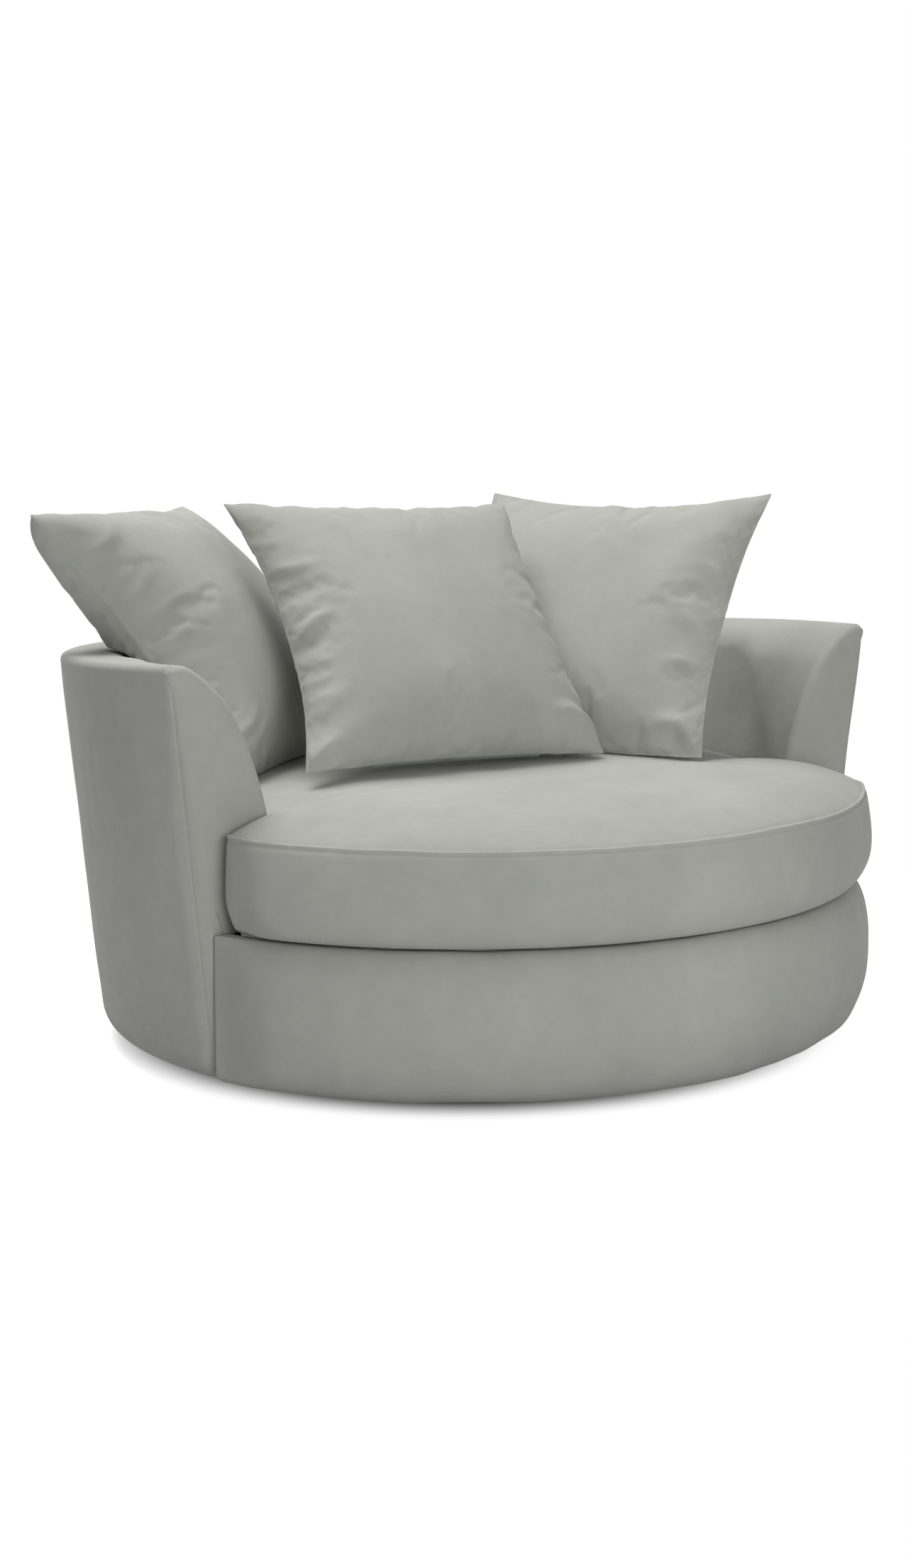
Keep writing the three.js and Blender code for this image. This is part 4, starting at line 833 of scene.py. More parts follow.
def front_profile():
    """Radii and heights from the hem round the bulge to the back of the top."""
    heights = mix(BODY_BOTTOM, FRONT_TOP, FRONT_HEIGHT_SHARES)
    radii = FRONT_RADIUS - FRONT_TUCK + FRONT_BULGE_SHARES * FRONT_TUCK
    ring = np.append(0, np.cumsum(np.hypot(np.diff(heights), np.diff(radii))))
    at = steps(FRONT_ROWS) * ring[-1]
    curve = np.stack([smooth_through(ring, radii, at), smooth_through(ring, heights, at)], 1)
    top = [[FRONT_TOP_RADII[0], FRONT_TOP], [FRONT_TOP_RADII[1], FRONT_TOP - FRONT_TOP_DROP]]
    return np.concatenate([[[FRONT_HEM_RADIUS, BODY_BOTTOM]], curve, top])


def smooth_through(x, y, at):
    """A monotone cubic through the points, read at the places given."""
    slope = np.diff(y) / np.diff(x)
    tangent = np.concatenate([[slope[0]], (slope[1:] + slope[:-1]) / 2, [slope[-1]]])
    tangent[1:-1][slope[1:] * slope[:-1] <= 0] = 0
    i = np.clip(np.searchsorted(x, at) - 1, 0, len(x) - 2)
    h = x[i + 1] - x[i]
    t = (at - x[i]) / h
    return ((2 * t ** 3 - 3 * t ** 2 + 1) * y[i] + (t ** 3 - 2 * t ** 2 + t) * h * tangent[i]
            + (3 * t ** 2 - 2 * t ** 3) * y[i + 1] + (t ** 3 - t ** 2) * h * tangent[i + 1])


def rail_surface(radii, heights, along, inset=0.0):
    """The rail's form: round in front, flatter towards the arms, with a tight edge where it meets them."""
    end_radii = np.minimum(radii, FRONT_END_RADIUS)
    end = np.arccos(-FRONT_END_Y / end_radii)
    from_end = np.minimum(along, 1 - along) * 2 * end * radii
    radius = mix(end_radii, radii, smooth(from_end / FRONT_END_BLEND))
    tuck = fall_back(from_end, FRONT_END_ROUND)
    angle = (2 * along - 1) * end
    outwards = radii - FRONT_MIDDLE_RADIUS
    radius = radius - tuck * (np.sign(outwards) * smooth(abs(outwards) / FRONT_MIDDLE_WIDTH)) - inset
    height = heights - tuck * rise(heights, *FRONT_END_HIGH)
    height = height + tuck * fall(heights, *FRONT_END_LOW) * FRONT_END_LOW_SHARE
    grid = np.stack(np.broadcast_arrays(radius * np.sin(angle), -radius * np.cos(angle), height), -1)
    return grid, from_end


def front_cover():
    profile = front_profile()
    close = steps(FRONT_CLOSE_COLUMNS) * FRONT_CLOSE_SHARE
    between = mix(FRONT_CLOSE_SHARE, 1 - FRONT_CLOSE_SHARE, steps(FRONT_COLUMNS)[1:-1])
    along = np.concatenate([close, between, 1 - close[::-1]])[None, :]
    grid, from_end = rail_surface(profile[:, :1], profile[:, 1:], along)
    turned = grid[:, [0, -1]] * (FRONT_TURNED_IN, FRONT_TURNED_IN, 1)
    grid = np.concatenate([turned[:, :1], grid, turned[:, 1:]], 1)
    from_end = np.concatenate([0 * from_end[:, :1], from_end, 0 * from_end[:, :1]], 1)
    grid = grid - grid_normals(grid) * (uneven(grid, "front") * smooth(from_end / FRONT_CALM))[..., None]
    piece = sheet("front_rail_cover_skin", grid, VELVET, side=-1)
    return dress(piece, "seat_body", "velvet", "front_rail_cover")


def rail_padding():
    """The foam between the rail and its cover."""
    profile = front_profile()[2:-2]
    heights = np.clip(profile[:, 1:], BODY_BOTTOM + PAD_INSET, FRONT_TOP - PAD_INSET)
    along = mix(PAD_END, 1 - PAD_END, steps(PAD_COLUMNS))[None]
    outer, _ = rail_surface(profile[:, :1], heights, along, PAD_INSET)
    inner = outer / np.maximum(np.hypot(outer[..., 0], outer[..., 1]), 1e-9)[..., None] * RAIL_FACE
    inner[..., 2] = outer[..., 2]
    loops = np.concatenate([outer, inner[::-1]])[:, ::-1]
    section = np.swapaxes(loops, 0, 1)
    low, high = section[0].mean(0), section[-1].mean(0)
    piece = stack("rail_foam", section, MATERIALS["foam"], low, high, SHARP_FOAM)
    dress(piece, "seat_body", "foam", "front_rail_padding")


# Seat cushion

def eared_outline(front_radius, back_radius, ear_y, corner, ear_draw=0):
    """A cushion's plan as a closed line: half from its front middle to its back middle, then mirrored."""
    ear_radius = front_radius - ear_draw
    ear_angle = math.acos(-ear_y / ear_radius)
    neck_angle = math.acos((WALL_CENTRE_Y - ear_y) / back_radius)
    turn = steps(OUTLINE_ROWS) * (ear_angle - corner / ear_radius)
    radius = front_radius - ear_draw * smooth((turn - ear_angle + CUSHION_EAR_TURN) / CUSHION_EAR_TURN)
    front = np.stack([radius * np.sin(turn), -radius * np.cos(turn)], 1)
    back_turn = mix(neck_angle, math.pi, steps(OUTLINE_ROWS))
    back = np.stack([back_radius * np.sin(back_turn), WALL_CENTRE_Y - back_radius * np.cos(back_turn)], 1)
    ear = np.array([ear_radius * math.sin(ear_angle), ear_y])
    after = ear + (back[0] - ear) * min(1, corner / np.linalg.norm(back[0] - ear))
    bend_at = steps(OUTLINE_BEND_ROWS)[1:, None]
    bend = (1 - bend_at) ** 2 * front[-1] + 2 * bend_at * (1 - bend_at) * ear + bend_at ** 2 * after
    half = resample(np.concatenate([front, bend, back]), OUTLINE_POINTS)
    half[[0, -1], 0] = 0
    return np.concatenate([half, half[-2:0:-1] * (-1, 1)])


def outline_normals(outline):
    way = np.roll(outline, -1, 0) - np.roll(outline, 1, 0)
    normal = np.stack([way[:, 1], -way[:, 0]], 1)
    return normal / np.linalg.norm(normal, axis=1)[:, None]


def ring_of(outline, outset, height, scale=1.0):
    """An outline moved outwards, scaled about the cushion's middle and laid at a height."""
    centre = np.array([0, CUSHION_CENTRE_Y])
    flat = (outline + outline_normals(outline) * outset - centre) * scale + centre
    return np.concatenate([flat, np.full((len(flat), 1), height)], 1)


def cushion_rings(inset=0.0):
    """Rings from the bottom's edge up the bulged side, over the seam and across the crown."""
    outline = eared_outline(SEAM_RADIUS, CUSHION_BACK_RADIUS, CUSHION_EAR_Y, CUSHION_CORNER, CUSHION_EAR_DRAW)
    low, high = CUSHION_BOTTOM + inset, SEAM_HEIGHT - inset
    middle = (low + high) / 2
    front = smooth(-outline_normals(outline)[:, 1] / FRONT_FACING)
    at_ear = rise(np.abs(outline[:, 0]), *EAR_FROM) * (outline[:, 1] < 0)
    bulge = (CUSHION_BULGE * mix(BACK_BULGE_SHARE, 1, front) * (1 - EAR_BULGE_LOSS * at_ear))[:, None]
    tuck = (CUSHION_TUCK * mix(BACK_TUCK_SHARE, 1, front) * (1 - EAR_TUCK_LOSS * at_ear))[:, None]
    lift = (CUSHION_EAR_LIFT * at_ear)[:, None] * (0, 0, 1)
    rings = [ring_of(outline, -tuck * BOTTOM_TUCK_SHARE - inset, low) + lift]
    for turn in steps(LOW_SIDE_ROWS)[:-1] * math.pi / 2:
        outset = (bulge + tuck) * math.sin(turn) ** LOW_SIDE_POWER - tuck - inset
        rings.append(ring_of(outline, outset, mix(low, middle, 1 - math.cos(turn))) + lift * math.cos(turn))
    for t in 1 - (1 - steps(HIGH_SIDE_ROWS)[:-1]) ** SIDE_CLOSER:
        outset = bulge * math.cos(t * math.pi / 2) ** HIGH_SIDE_POWER - inset
        rings.append(ring_of(outline, outset, mix(middle, high, t)))
    for scale in 1 - steps(CROWN_ROWS)[:-1] ** CROWN_CLOSER * CROWN_REACH:
        rings.append(ring_of(outline, -inset, high + CUSHION_CROWN * (1 - scale ** CROWN_POWER), scale))
    return np.array(rings)


def seat_cushion():
    rings = cushion_rings()
    seam = rings[SEAM_RING]
    above = rings[..., 2] > SEAM_HEIGHT
    normals = grid_normals(rings, closed_columns=True)
    wave = uneven(rings, "seat") * rise(rings[..., 2] - CUSHION_BOTTOM, *SEAT_CALM)
    from_seam = np.linalg.norm(rings - seam, axis=-1)
    pucker = 0.5 + 0.5 * ripple(seam, PUCKER_SIZE, PUCKER_SEED)
    wave += SEAM_RIDGE * np.exp(-(from_seam / SEAM_RIDGE_WIDTH) ** 2)
    groove = SEAM_DEPTH * np.where(above, SEAM_TOP_SHARE, 1) + PUCKER_DEPTH * pucker
    wave -= groove * np.exp(-((from_seam - SEAM_GROOVE_AT) / SEAM_WIDTH) ** 2)
    wave -= PUCKER_TOP_DEPTH * pucker * np.exp(-from_seam / PUCKER_REACH) * above
    middle = np.array([0, CUSHION_CENTRE_Y, SEAT_MIDDLE_HEIGHT])
    out = np.where((normals * (rings - middle)).sum(-1) < 0, -1, 1)
    rings = rings + normals * (wave * out)[..., None]
    low = (0, CUSHION_CENTRE_Y, CUSHION_BOTTOM)
    high = (0, CUSHION_CENTRE_Y, SEAM_HEIGHT + CUSHION_CROWN)
    piece = stack("seat_cushion_skin", rings, VELVET, low, high)
    dress(piece, "seat_cushion", "velvet", "seat_cushion_cover")
    return piece


def cushion_core():
    rings = cushion_rings(CORE_INSET)
    low = (0, CUSHION_CENTRE_Y, CUSHION_BOTTOM + CORE_INSET)
    high = (0, CUSHION_CENTRE_Y, SEAM_HEIGHT - CORE_INSET + CUSHION_CROWN)
    piece = stack("seat_cushion_foam", rings, MATERIALS["foam"], low, high)
    dress(piece, "seat_cushion", "foam", "seat_cushion_core")


# Deck: a felt pad on a black cloth, over the springs

def deck_outline():
    return eared_outline(DECK_FRONT_RADIUS, wall_radius(DECK_PAD_BOTTOM) - WALL_THICKNESS - DECK_EDGE_GAP,
                         FRONT_END_Y, CUSHION_CORNER)


def deck():
    """A flat pad with a round edge and slight hollows in its top."""
    outline = deck_outline()
    low, high = DECK_PAD_BOTTOM, DECK_TOP
    below, edge, above = DECK_ROWS
    rings = [ring_of(outline, -DECK_ROUND, low, mix(MIDDLE_SHARE, 1, t)) for t in steps(below)[:-1]]
    for turn in steps(edge) * math.pi:
        height = (low + high) / 2 - (high - low) / 2 * math.cos(turn)
        rings.append(ring_of(outline, -DECK_ROUND * (1 - math.sin(turn)), height))
    rings += [ring_of(outline, -DECK_ROUND, high, mix(1, MIDDLE_SHARE, t)) for t in steps(above)[1:]]
    rings = np.array(rings)
    hollow = DECK_DIMPLE * (0.5 + 0.5 * ripple(rings, DECK_DIMPLE_SIZE, DECK_DIMPLE_SEED))
    rings[..., 2] -= np.where(rings[..., 2] > high - DECK_ROUND * 0.1, hollow, 0)
    low_middle, high_middle = (0, CUSHION_CENTRE_Y, low), (0, CUSHION_CENTRE_Y, high)
    pad = stack("deck_felt", rings, MATERIALS["fibre"], low_middle, high_middle)
    dress(pad, "seat_body", "fibre", "deck_pad")


def flat_cloth(name, outline, hole, low, thick):
    """A flat cloth stretched over an outline, round a hole of that radius if there is one."""
    cloth = MATERIALS["black_cloth"]
    inner = outline / np.linalg.norm(outline, axis=1)[:, None] * hole if hole else outline * MIDDLE_SHARE
    shares = steps(CLOTH_RINGS)
    below = [np.c_[mix(inner, outline, share), np.full(len(outline), low)] for share in shares]
    above = [np.c_[mix(outline, inner, share), np.full(len(outline), low + thick)] for share in shares]
    rings = np.array(below + above)
    if not hole:
        middle = inner.mean(0)
        return stack(name, rings, cloth, (*middle, low), (*middle, low + thick))
    index = np.arange(rings.shape[0] * rings.shape[1]).reshape(rings.shape[:2])
    index = np.concatenate([index, index[:1]])
    return make(name, rings.reshape(-1, 3), quads(index, closed=True), cloth, SHARP_CLOTH)


def deck_cloth():
    outline = deck_outline()
    low = DECK_CLOTH_BOTTOM + DECK_CLOTH_LIFT
    piece = flat_cloth("deck_sheet", outline, 0, low, DECK_CLOTH_THICKNESS)
    dress(piece, "seat_body", "black_cloth", "deck_cloth")


def dust_cover():
    outline = eared_outline(DUST_RADIUS, DUST_BACK_RADIUS, ARM_END_Y, DUST_CORNER)
    piece = flat_cloth("dust_sheet", outline, DUST_HOLE, DUST_BOTTOM, DUST_THICKNESS)
    dress(piece, "seat_body", "black_cloth", "dust_cover")


# Pillows

def pillow_matrix(pillow):
    turn, lean, roll = (math.radians(pillow[key]) for key in ("turn", "lean", "roll"))
    about = (Matrix.Rotation(turn, 4, "Z") @ Matrix.Rotation(math.pi / 2 - lean, 4, "X")
             @ Matrix.Rotation(roll, 4, "Z"))
    return Matrix.Translation(pillow["place"]) @ about


def panel_numbers(count):
    """Vertex numbers of a front and a back panel, count by count, that share their border."""
    front = np.arange(count * count).reshape(count, count)
    back = front.copy()
    back[1:-1, 1:-1] = count * count + np.arange((count - 2) ** 2).reshape(count - 2, count - 2)
    return front, back


def panel_faces(front, back):
    return quads(front) + [face[::-1] for face in quads(back)]


def flat_panels(seed):
    """Two square panels laid on each other, slightly domed and rippled."""
    line = np.linspace(-1, 1, PILLOW_CELLS + 1)
    v, u = np.meshgrid(line, line, indexing="ij")
    dome = np.sqrt(np.maximum((1 - u * u) * (1 - v * v), 0))
    panels = []
    for side in (1, -1):
        grid = np.stack([u * CLOTH_CUT / 2, v * CLOTH_CUT / 2, side * CLOTH_START * dome], -1)
        grid[..., 2] += side * CLOTH_RIPPLE * ripple(grid, CLOTH_RIPPLE_SIZE, seed + (side < 0)) * dome
        panels.append(grid)
    return panels


def join_panels(front, back):
    """All points of two panels, in the order of panel_numbers."""
    return np.concatenate([front.reshape(-1, 3), back[1:-1, 1:-1].reshape(-1, 3)])


def blow_up(seed, pressure, shrink, frames):
    """Blows up a sewn pair of panels as cloth, with its seam gathered, and returns both as grids."""
    front, back = panel_numbers(PILLOW_CELLS + 1)
    panels = flat_panels(seed)
    mesh = bpy.data.meshes.new("cloth")
    mesh.from_pydata(join_panels(*panels).tolist(), [], panel_faces(front, back))
    obj = bpy.data.objects.new("cloth", mesh)
    bpy.context.scene.collection.objects.link(obj)
    seam = obj.vertex_groups.new(name="seam")
    border = np.concatenate([front[0], front[-1], front[:, 0], front[:, -1]])
    seam.add([int(i) for i in np.unique(border)], 1.0, "REPLACE")
    cloth = obj.modifiers.new("cloth", "CLOTH")
    for setting, value in CLOTH_SETTINGS.items():
        setattr(cloth.settings, setting, value)
    cloth.settings.uniform_pressure_force = pressure
    cloth.settings.shrink_max = shrink
    cloth.settings.effector_weights.gravity = 0
    cloth.collision_settings.use_collision = False
    cloth.collision_settings.use_self_collision = False
    for number in range(1, frames + 1):
        bpy.context.scene.frame_set(number)
    settled = obj.evaluated_get(bpy.context.evaluated_depsgraph_get())
    points = np.array([vertex.co for vertex in settled.data.vertices])
    bpy.data.objects.remove(obj)
    bpy.context.scene.frame_set(1)
    return [points[front], points[back]]


def even_form(panel):
    """The mean of a blown panel over the square's eight symmetries: its form without its own folds."""
    total = np.zeros_like(panel)
    for swapped in (panel, np.swapaxes(panel, 0, 1)[..., [1, 0, 2]]):
        for x_way in (1, -1):
            for y_way in (1, -1):
                total += swapped[::y_way, ::x_way] * (x_way, y_way, 1)
    return total / 8


def from_border(count):
    """Distance from a panel's border for each of its points, as a share of its half size."""
    near = np.minimum(np.arange(count), np.arange(count)[::-1])
    return np.minimum(near[:, None], near[None, :]) * 2 / (count - 1)


def spread(low, high, left, right):
    """Values inside a square from those along its four sides."""
    s = steps(len(low))[None, :, None]
    t = steps(len(left))[:, None, None]
    sides = mix(low[None], high[None], t) + mix(left[:, None], right[:, None], s)
    corners = mix(mix(low[0], low[-1], s), mix(high[0], high[-1], s), t)
    return sides - corners


def fitted_side(side, start, end, inward, draw, pinch=1):
    """How a side of the seam moves to run from start to end, drawn in by draw between them."""
    t = steps(len(side))[:, None]
    bow = (1 - np.abs(2 * t - 1) ** SEAM_BOW_POWER) ** pinch
    flat = mix(start, end, t) + np.array(inward) * draw * bow
    return np.concatenate([flat - side[:, :2], -side[:, 2:]], 1)


def fit_panels(panels, pillow):
    """Brings blown panels to the pillow's outline and fullness, and calms their folds."""
    low_left, low_right, top_left, top_right = np.array(pillow["corners"]) * PILLOW_SIZE / 2
    low, high, left, right = np.array(pillow["draws"]) * PILLOW_SIZE / 2
    even = [even_form(panel) for panel in panels]
    seam = even[0]
    move = spread(
        fitted_side(seam[0], low_left, low_right, (0, 1), low),
        fitted_side(seam[-1], top_left, top_right, (0, -1), high),
        fitted_side(seam[:, 0], low_left, top_left, (1, 0), left, pillow["pinch"]),
        fitted_side(seam[:, -1], low_right, top_right, (-1, 0), right),
    )
    share = steps(seam.shape[1])[None, :] * 2 - 1
    thinning = 1 - pillow["thin"] * rise(share * pillow["thin_side"], THIN_FROM, 1 - THIN_FROM)
    seam_calm = mix(SEAM_CALM, 1, smooth(from_border(seam.shape[0]) / SEAM_CALM_EDGE))[..., None]
    fitted = []
    fullness = (pillow["full"], pillow["full_back"])
    for panel, form, bulge, full in zip(panels, even, (pillow["front"], pillow["back"]), fullness):
        grid = form + move
        height = form[..., 2] / np.abs(form[..., 2]).max()
        grid[..., 2] = np.sign(height) * np.abs(height) ** full * bulge * thinning
        folds = (panel - form) * pillow["calm"] * seam_calm
        fitted.append(grid + folds)
    return fitted


def refined(grid):
    """The grid with a smooth point put between each two, both ways."""
    for axis in (0, 1):
        rows = np.moveaxis(grid, axis, 0)
        first, last = 2 * rows[:1] - rows[1:2], 2 * rows[-1:] - rows[-2:-1]
        wide = np.concatenate([first, rows, last])
        between = (9 * (wide[1:-2] + wide[2:-1]) - wide[:-3] - wide[3:]) / 16
        finer = np.empty((2 * len(rows) - 1,) + rows.shape[1:])
        finer[::2] = rows
        finer[1::2] = between
        grid = np.moveaxis(finer, 0, axis)
    return grid


def crease(places, line, width, depth, lip):
    """Height to add for a fold: sunk along a line, raised on one side and fading from its first point."""
    line = np.array(line) * PILLOW_SIZE / 2
    start, way = line[:-1], np.diff(line, axis=0)
    length = np.linalg.norm(way, axis=1)
    rel = places[..., None, :] - start
    t = np.clip((rel * way).sum(-1) / length ** 2, 0, 1)
    off = rel - t[..., None] * way
    distance = np.linalg.norm(off, axis=-1)
    nearest = distance.argmin(-1)[..., None]
    side = np.sign(way[:, 0] * rel[..., 1] - way[:, 1] * rel[..., 0])
    signed = np.take_along_axis(side * distance, nearest, -1)[..., 0]
    along = np.take_along_axis(np.append(0, np.cumsum(length))[:-1] + t * length, nearest, -1)[..., 0]
    fade = (1 - (along / length.sum()) ** 2) * smooth(from_border(len(places)) / CREASE_EDGE)
    sunk = depth * np.exp(-(signed / width) ** 2)
    from_lip = -signed * math.copysign(1, lip) - LIP_AT * width
    raised = abs(lip) * np.exp(-(from_lip / (LIP_WIDTH * width)) ** 2)
    return fade * (raised - sunk)


def seam_puckers(grid, seed):
    """Small gathers that run in from all four sides of a panel."""
    total = np.zeros(grid.shape[:2])
    x, y = grid[..., 0], grid[..., 1]
    edges = (
        (y - y[:1], x), (y[-1:] - y, x + PILLOW_SIZE), (x - x[:, :1], y + 2 * PILLOW_SIZE),
        (x[:, -1:] - x, y + 3 * PILLOW_SIZE))
    for away, along in edges:
        line = np.stack([along, 0 * along, 0 * along], -1)
        gathers = ripple(line, GATHERS[0], seed) + GATHER_FINE_SHARE * ripple(line, GATHERS[1], seed + 1)
        total += gathers * np.exp(-away / GATHER_REACH) * smooth(away / GATHER_START)
    return total


def pillow_panels(pillow):
    """Both panels of a pillow in its own frame, with their seam, gathers and creases."""
    panels = [refined(panel) for panel in fit_panels(blow_up(**pillow["blow"]), pillow)]
    finished = []
    for side, panel in zip((1, -1), panels):
        height = GATHER_HEIGHT * seam_puckers(panel, pillow["blow"]["seed"] + 60 * side + 100)
        if side > 0:
            for fold in pillow["creases"]:
                height = height + crease(panel[..., :2], *fold)
        inside = np.zeros(panel.shape[:2])
        inside[1:-1, 1:-1] = 1
        way = grid_normals(panel)
        way[..., :2] *= smooth(from_border(len(panel)) / CREASE_WAY_EDGE)[..., None]
        finished.append(panel + way * (side * height * inside)[..., None])
    for panel in finished:
        for end, way in ((0, -1), (-1, 1)):
            panel[end, :, 1] += way * PILLOW_LIP
            panel[:, end, 0] += way * PILLOW_LIP
    return finished


def clear_of_wall(points):
    """Points moved out of the wall, whose section is a slab with a round top."""
    half = WALL_THICKNESS / 2
    x, y, z = points.T
    radius = np.hypot(x, y - WALL_CENTRE_Y)
    height = z + WALL_RAKE * y
    away = (np.arctan2(np.abs(x), WALL_CENTRE_Y - y) - ARM_END_TURN) * WALL_TOP_RADIUS
    across = radius + arm_fullness(height, np.maximum(away, 0)) - (wall_radius(height) - half)
    up = height - (WALL_TOP - RIM_ROUND_DROP)
    flat = np.abs(across) - (half - RIM_ROUND_WIDTH)
    outside = np.hypot(np.maximum(flat, 0), np.maximum(up, 0)) + np.minimum(np.maximum(flat, up), 0)
    depth = np.clip(RIM_ROUND_WIDTH + PILLOW_GAP - outside, 0, None)
    depth = np.where((across > half) | (z < WALL_LOW), 0, depth)
    way_in = np.maximum(-across, 0) * (flat > 0)
    way_up = np.maximum(up, 0)
    length = np.maximum(np.hypot(way_in, way_up), TINY)
    inward = np.where(length > TINY, way_in / length, 1)
    lift = np.where(length > TINY, way_up / length, 0)
    scale = depth * inward / np.maximum(radius, TINY)
    return points + np.stack([-x * scale, -(y - WALL_CENTRE_Y) * scale, depth * lift], 1)


def clear_of_seat(points, tree):
    """Points lifted on to the seat cushion where they would sink into it."""
    points = points.copy()
    for i in np.where(points[:, 2] < SEAM_HEIGHT + CUSHION_CROWN + SEAT_NEAR)[0]:
        hit = tree.ray_cast(Vector((points[i, 0], points[i, 1], 1)), Vector((0, 0, -1)))[0]
        if hit is not None:
            points[i, 2] = max(points[i, 2], hit.z + PILLOW_GAP)
    return points


def calmed(values, passes):
    """Values over a grid, each pass taking the mean with their neighbours."""
    for _ in range(passes):
        wide = np.pad(values, 1, mode="edge")
        values = (wide[:-2, 1:-1] + wide[2:, 1:-1] + wide[1:-1, :-2] + wide[1:-1, 2:] + 2 * values) / 6
    return values


def behind_pillow(grid, pillow, tree):
    """A panel's points pressed back behind another pillow, and less beside its edge."""
    place = np.array(pillow_matrix(pillow))
    points = grid.reshape(-1, 3)
    local = (points - place[:3, 3]) @ place[:3, :3]
    near = np.abs(local[:, :2]).max(1) < PILLOW_SIZE * PRESS_REACH
    over = np.zeros(len(points))
    forward = Vector(place[:3, 2])
    for i in np.where(near & (local[:, 2] > -2 * pillow["back"]))[0]:
        start = Vector(points[i]) - forward * (local[i, 2] + PRESS_START)
        hit = tree.ray_cast(start, forward)[0]
        if hit is not None:
            over[i] = max(0, local[i, 2] - (hit - start).length + PRESS_START + PILLOW_GAP)
    over = over.reshape(grid.shape[:2])
    over = np.maximum(over, calmed(over, PRESS_PASSES))
    return grid - over[..., None] * place[:3, 2]


def kept_apart(front, back, forward):
    """The back panel, moved back where the front one was pressed into it."""
    apart = ((front - back) * forward).sum(-1)
    need = PANELS_APART * smooth(from_border(len(front)) / PANELS_APART_EDGE)
    return back - np.clip(need - apart, 0, None)[..., None] * forward


def pillows(seat):
    """The middle pillow first, then the ones beside it, which give way to it."""
    seat_tree = BVHTree.FromObject(seat, bpy.context.evaluated_depsgraph_get())
    middle_tree = None
    for name in ("middle", "left", "right"):
        pillow = PILLOWS[name]
        place = np.array(pillow_matrix(pillow))
        front, back = [panel @ place[:3, :3].T + place[:3, 3] for panel in pillow_panels(pillow)]
        if middle_tree:
            front, back = [behind_pillow(panel, PILLOWS["middle"], middle_tree) for panel in (front, back)]
        front, back = [clear_of_wall(panel.reshape(-1, 3)).reshape(panel.shape) for panel in (front, back)]
        back = kept_apart(front, back, place[:3, 2])
        numbers = panel_numbers(len(front))
        faces = panel_faces(*numbers)
        points = clear_of_seat(join_panels(front, back), seat_tree)
        piece = make(f"pillow_{name}_skin", points, faces, VELVET, SHARP_NEVER)
        smooth_seam(piece)
        dress(piece, "pillow_" + name, "velvet", "pillow_cover_" + name)
        pillow_zip(name, points[numbers[0][0]], place[:3, 2], -place[:3, 1])
        middle_tree = middle_tree or BVHTree.FromPolygons(points.tolist(), faces)
        pillow_filling(name, points[numbers[0]], points[numbers[1]])


def smooth_seam(piece):
    finer = piece.modifiers.new("finer", "SUBSURF")
    finer.levels = 1
    finer.render_levels = 1


def pillow_zip(name, seam, forward, outward):
    """A zip along the middle of a pillow's lower seam."""
    first, last = int(len(seam) * ZIP_SHARE), int(len(seam) * (1 - ZIP_SHARE))
    edge = resample(seam[first:last], ZIP_POINTS) + outward * ZIP_THICKNESS * ZIP_SUNK
    half = forward * ZIP_WIDTH / 2
    grid = np.stack([mix(edge - half, edge + half, t) for t in steps(5)])
    flip = np.sign((grid_normals(grid)[2, ZIP_POINTS // 2] * outward).sum())
    piece = sheet(f"pillow_{name}_zip_strip", grid, MATERIALS["zip"], ZIP_THICKNESS, flip)
    dress(piece, "pillow_" + name, "zip", "pillow_zip_" + name)


def pillow_filling(name, front, back):
    """The fibre inside a pillow: the cover's form, a little smaller."""
    front, back = front[::2, ::2], back[::2, ::2]
    middle = (front + back) / 2
    centre = middle.mean((0, 1))
    inner = [centre + (mix(middle, panel, FILLING_THIN) - centre) * FILLING_SIZE for panel in (front, back)]
    numbers = panel_numbers(front.shape[0])
    piece = make(f"pillow_{name}_filling", join_panels(*inner), panel_faces(*numbers), MATERIALS["fibre"],
                 SHARP_NEVER)
    dress(piece, "pillow_" + name, "fibre", "pillow_insert_" + name)


# Set: camera, light and floor

CAMERA_PLACE = (-2.1214, -3.4241, 1.015)
CAMERA_LOOK = (0.5178, 0.8417, -0.1530)
CAMERA_LENS = 57.04
CAMERA_HEIGHT = 36
LAMP_TARGET = (0, 0, 0.4)
OVERHEAD = {"place": (-0.6, 1.6, 5.1), "size": 3.6, "power": 255}
FRONT_LAMP = {"place": (-0.8, -4.2, 1.4), "size": 2.5, "power": 66}
WORLD_COLOUR = (0.97, 0.985, 1, 1)
WORLD_STRENGTH = 0.26
WHITE = (1, 1, 1, 1)
FLOOR_COLOUR = (0.6, 0.6, 0.605)
FLOOR_HALF = 14.0
FLOOR_GLOW = 0.85
# Painted shadow: between these distances from the middle the floor's glow fades out towards the chair,
# painting a dark ring round its foot
FLOOR_PAINTED_SHADOW_TO = 0.50
FLOOR_PAINTED_SHADOW_END = 0.612
FLOOR_SHADOW_TO = 0.85
FLOOR_WHITE_FROM = 1.6


def camera():
    data = bpy.data.cameras.new("camera")
    data.sensor_fit = "VERTICAL"
    data.sensor_height = CAMERA_HEIGHT
    data.lens = CAMERA_LENS
    obj = bpy.data.objects.new("camera", data)
    obj.location = CAMERA_PLACE
    obj.rotation_euler = Vector(CAMERA_LOOK).to_track_quat("-Z", "Y").to_euler()
    bpy.context.scene.collection.objects.link(obj)
    bpy.context.scene.camera = obj


def lamp(name, place, size, power):
    data = bpy.data.lights.new(name, "AREA")
    data.shape = "DISK"
    data.size = size
    data.energy = power
    obj = bpy.data.objects.new(name, data)
    obj.location = place
    obj.rotation_euler = (Vector(LAMP_TARGET) - Vector(place)).to_track_quat("-Z", "Y").to_euler()
    bpy.context.scene.collection.objects.link(obj)


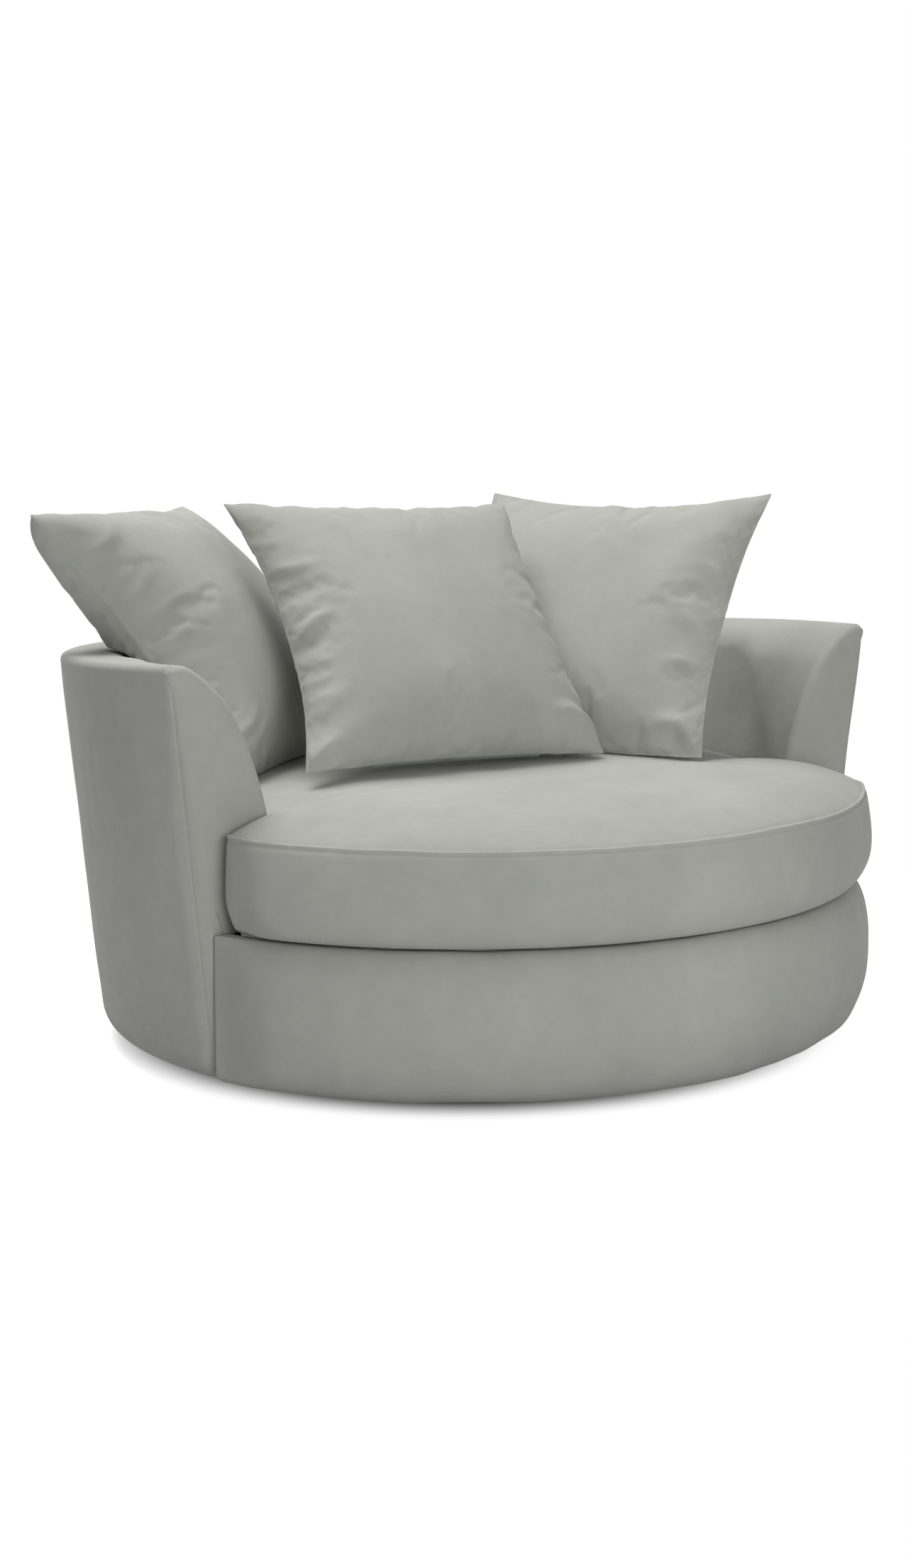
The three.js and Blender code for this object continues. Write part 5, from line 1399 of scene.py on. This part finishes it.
def seen_directly(tree):
    """1 for rays from the camera, from a mirror-like surface or through glass."""
    path = add_node(tree, "ShaderNodeLightPath")
    first = add_node(tree, "ShaderNodeMath", {0: (path, "Is Camera Ray"), 1: (path, "Is Glossy Ray")},
                     operation="MAXIMUM")
    return add_node(tree, "ShaderNodeMath", {0: (first, 0), 1: (path, "Is Transmission Ray")},
                    operation="MAXIMUM")


def world():
    """An even, pale light that looks plain white from the camera."""
    bpy.context.scene.world = bpy.data.worlds.new("world")
    bpy.context.scene.world.use_nodes = True
    tree = bpy.context.scene.world.node_tree
    tree.nodes.clear()
    light = add_node(tree, "ShaderNodeBackground", {"Color": WORLD_COLOUR, "Strength": WORLD_STRENGTH})
    white = add_node(tree, "ShaderNodeBackground", {"Color": WHITE, "Strength": 1})
    blend = add_node(tree, "ShaderNodeMixShader", {0: (seen_directly(tree), 0), 1: (light, 0), 2: (white, 0)})
    add_node(tree, "ShaderNodeOutputWorld", {"Surface": (blend, 0)})


def floor():
    """A pale floor: it takes the object's cast shadow, has a painted shadow ring round the chair's foot where
    its glow fades out, and is plain white further out.
    """
    mesh = bpy.data.meshes.new("floor")
    corners = [(x * FLOOR_HALF, y * FLOOR_HALF, 0) for x, y in ((-1, -1), (1, -1), (1, 1), (-1, 1))]
    mesh.from_pydata(corners, [], [(0, 1, 2, 3)])
    obj = bpy.data.objects.new("floor", mesh)
    bpy.context.scene.collection.objects.link(obj)
    nodes = Nodes("floor")
    distance = nodes.add("ShaderNodeVectorMath", {0: (nodes.place, "Object")}, operation="LENGTH")

    def over_distance(start, end, top):
        return nodes.add("ShaderNodeMapRange", {
            "Value": (distance, "Value"), "From Min": start, "From Max": end, "To Max": top},
            interpolation_type="SMOOTHSTEP")

    def blend(factor, first, second):
        return nodes.add("ShaderNodeMixShader", {0: factor, 1: (first, 0), 2: (second, 0)})

    # Painted shadow: no glow near the chair's foot, full glow further out
    glow_past_painted_shadow = over_distance(FLOOR_PAINTED_SHADOW_TO, FLOOR_PAINTED_SHADOW_END, FLOOR_GLOW)
    matt = nodes.add("ShaderNodeBsdfDiffuse", {"Color": (*FLOOR_COLOUR, 1)})
    glow = nodes.add("ShaderNodeEmission", {"Strength": (glow_past_painted_shadow, "Result")})
    near = nodes.add("ShaderNodeAddShader", {0: (matt, 0), 1: (glow, 0)})
    spread_out = over_distance(FLOOR_SHADOW_TO, FLOOR_WHITE_FROM, 1)
    seen = blend((spread_out, "Result"), near, nodes.add("ShaderNodeEmission"))
    surface = blend((seen_directly(nodes.tree), 0), matt, seen)
    nodes.add("ShaderNodeOutputMaterial", {"Surface": (surface, 0)})
    mesh.materials.append(nodes.material)


def finish_frame():
    """Gives every CAD node the material of its slot."""
    for part in frame["record"]["subparts"]:
        mesh = frame["nodes"][part["node"]].data
        mesh.materials.clear()
        mesh.materials.append(MATERIALS[part["material_slot"]])


camera()
world()
lamp("overhead", **OVERHEAD)
lamp("front", **FRONT_LAMP)
floor()
outside_cover()
inside_cover()
arm_panel("arm_panel_right", 1)
arm_panel("arm_panel_left", -1)
arm_frame("right", 1)
arm_frame("left", -1)
liner()
front_cover()
rail_padding()
seat = seat_cushion()
cushion_core()
deck()
deck_cloth()
dust_cover()
pillows(seat)
finish_frame()

bpy.context.scene.view_settings.view_transform = "Standard"
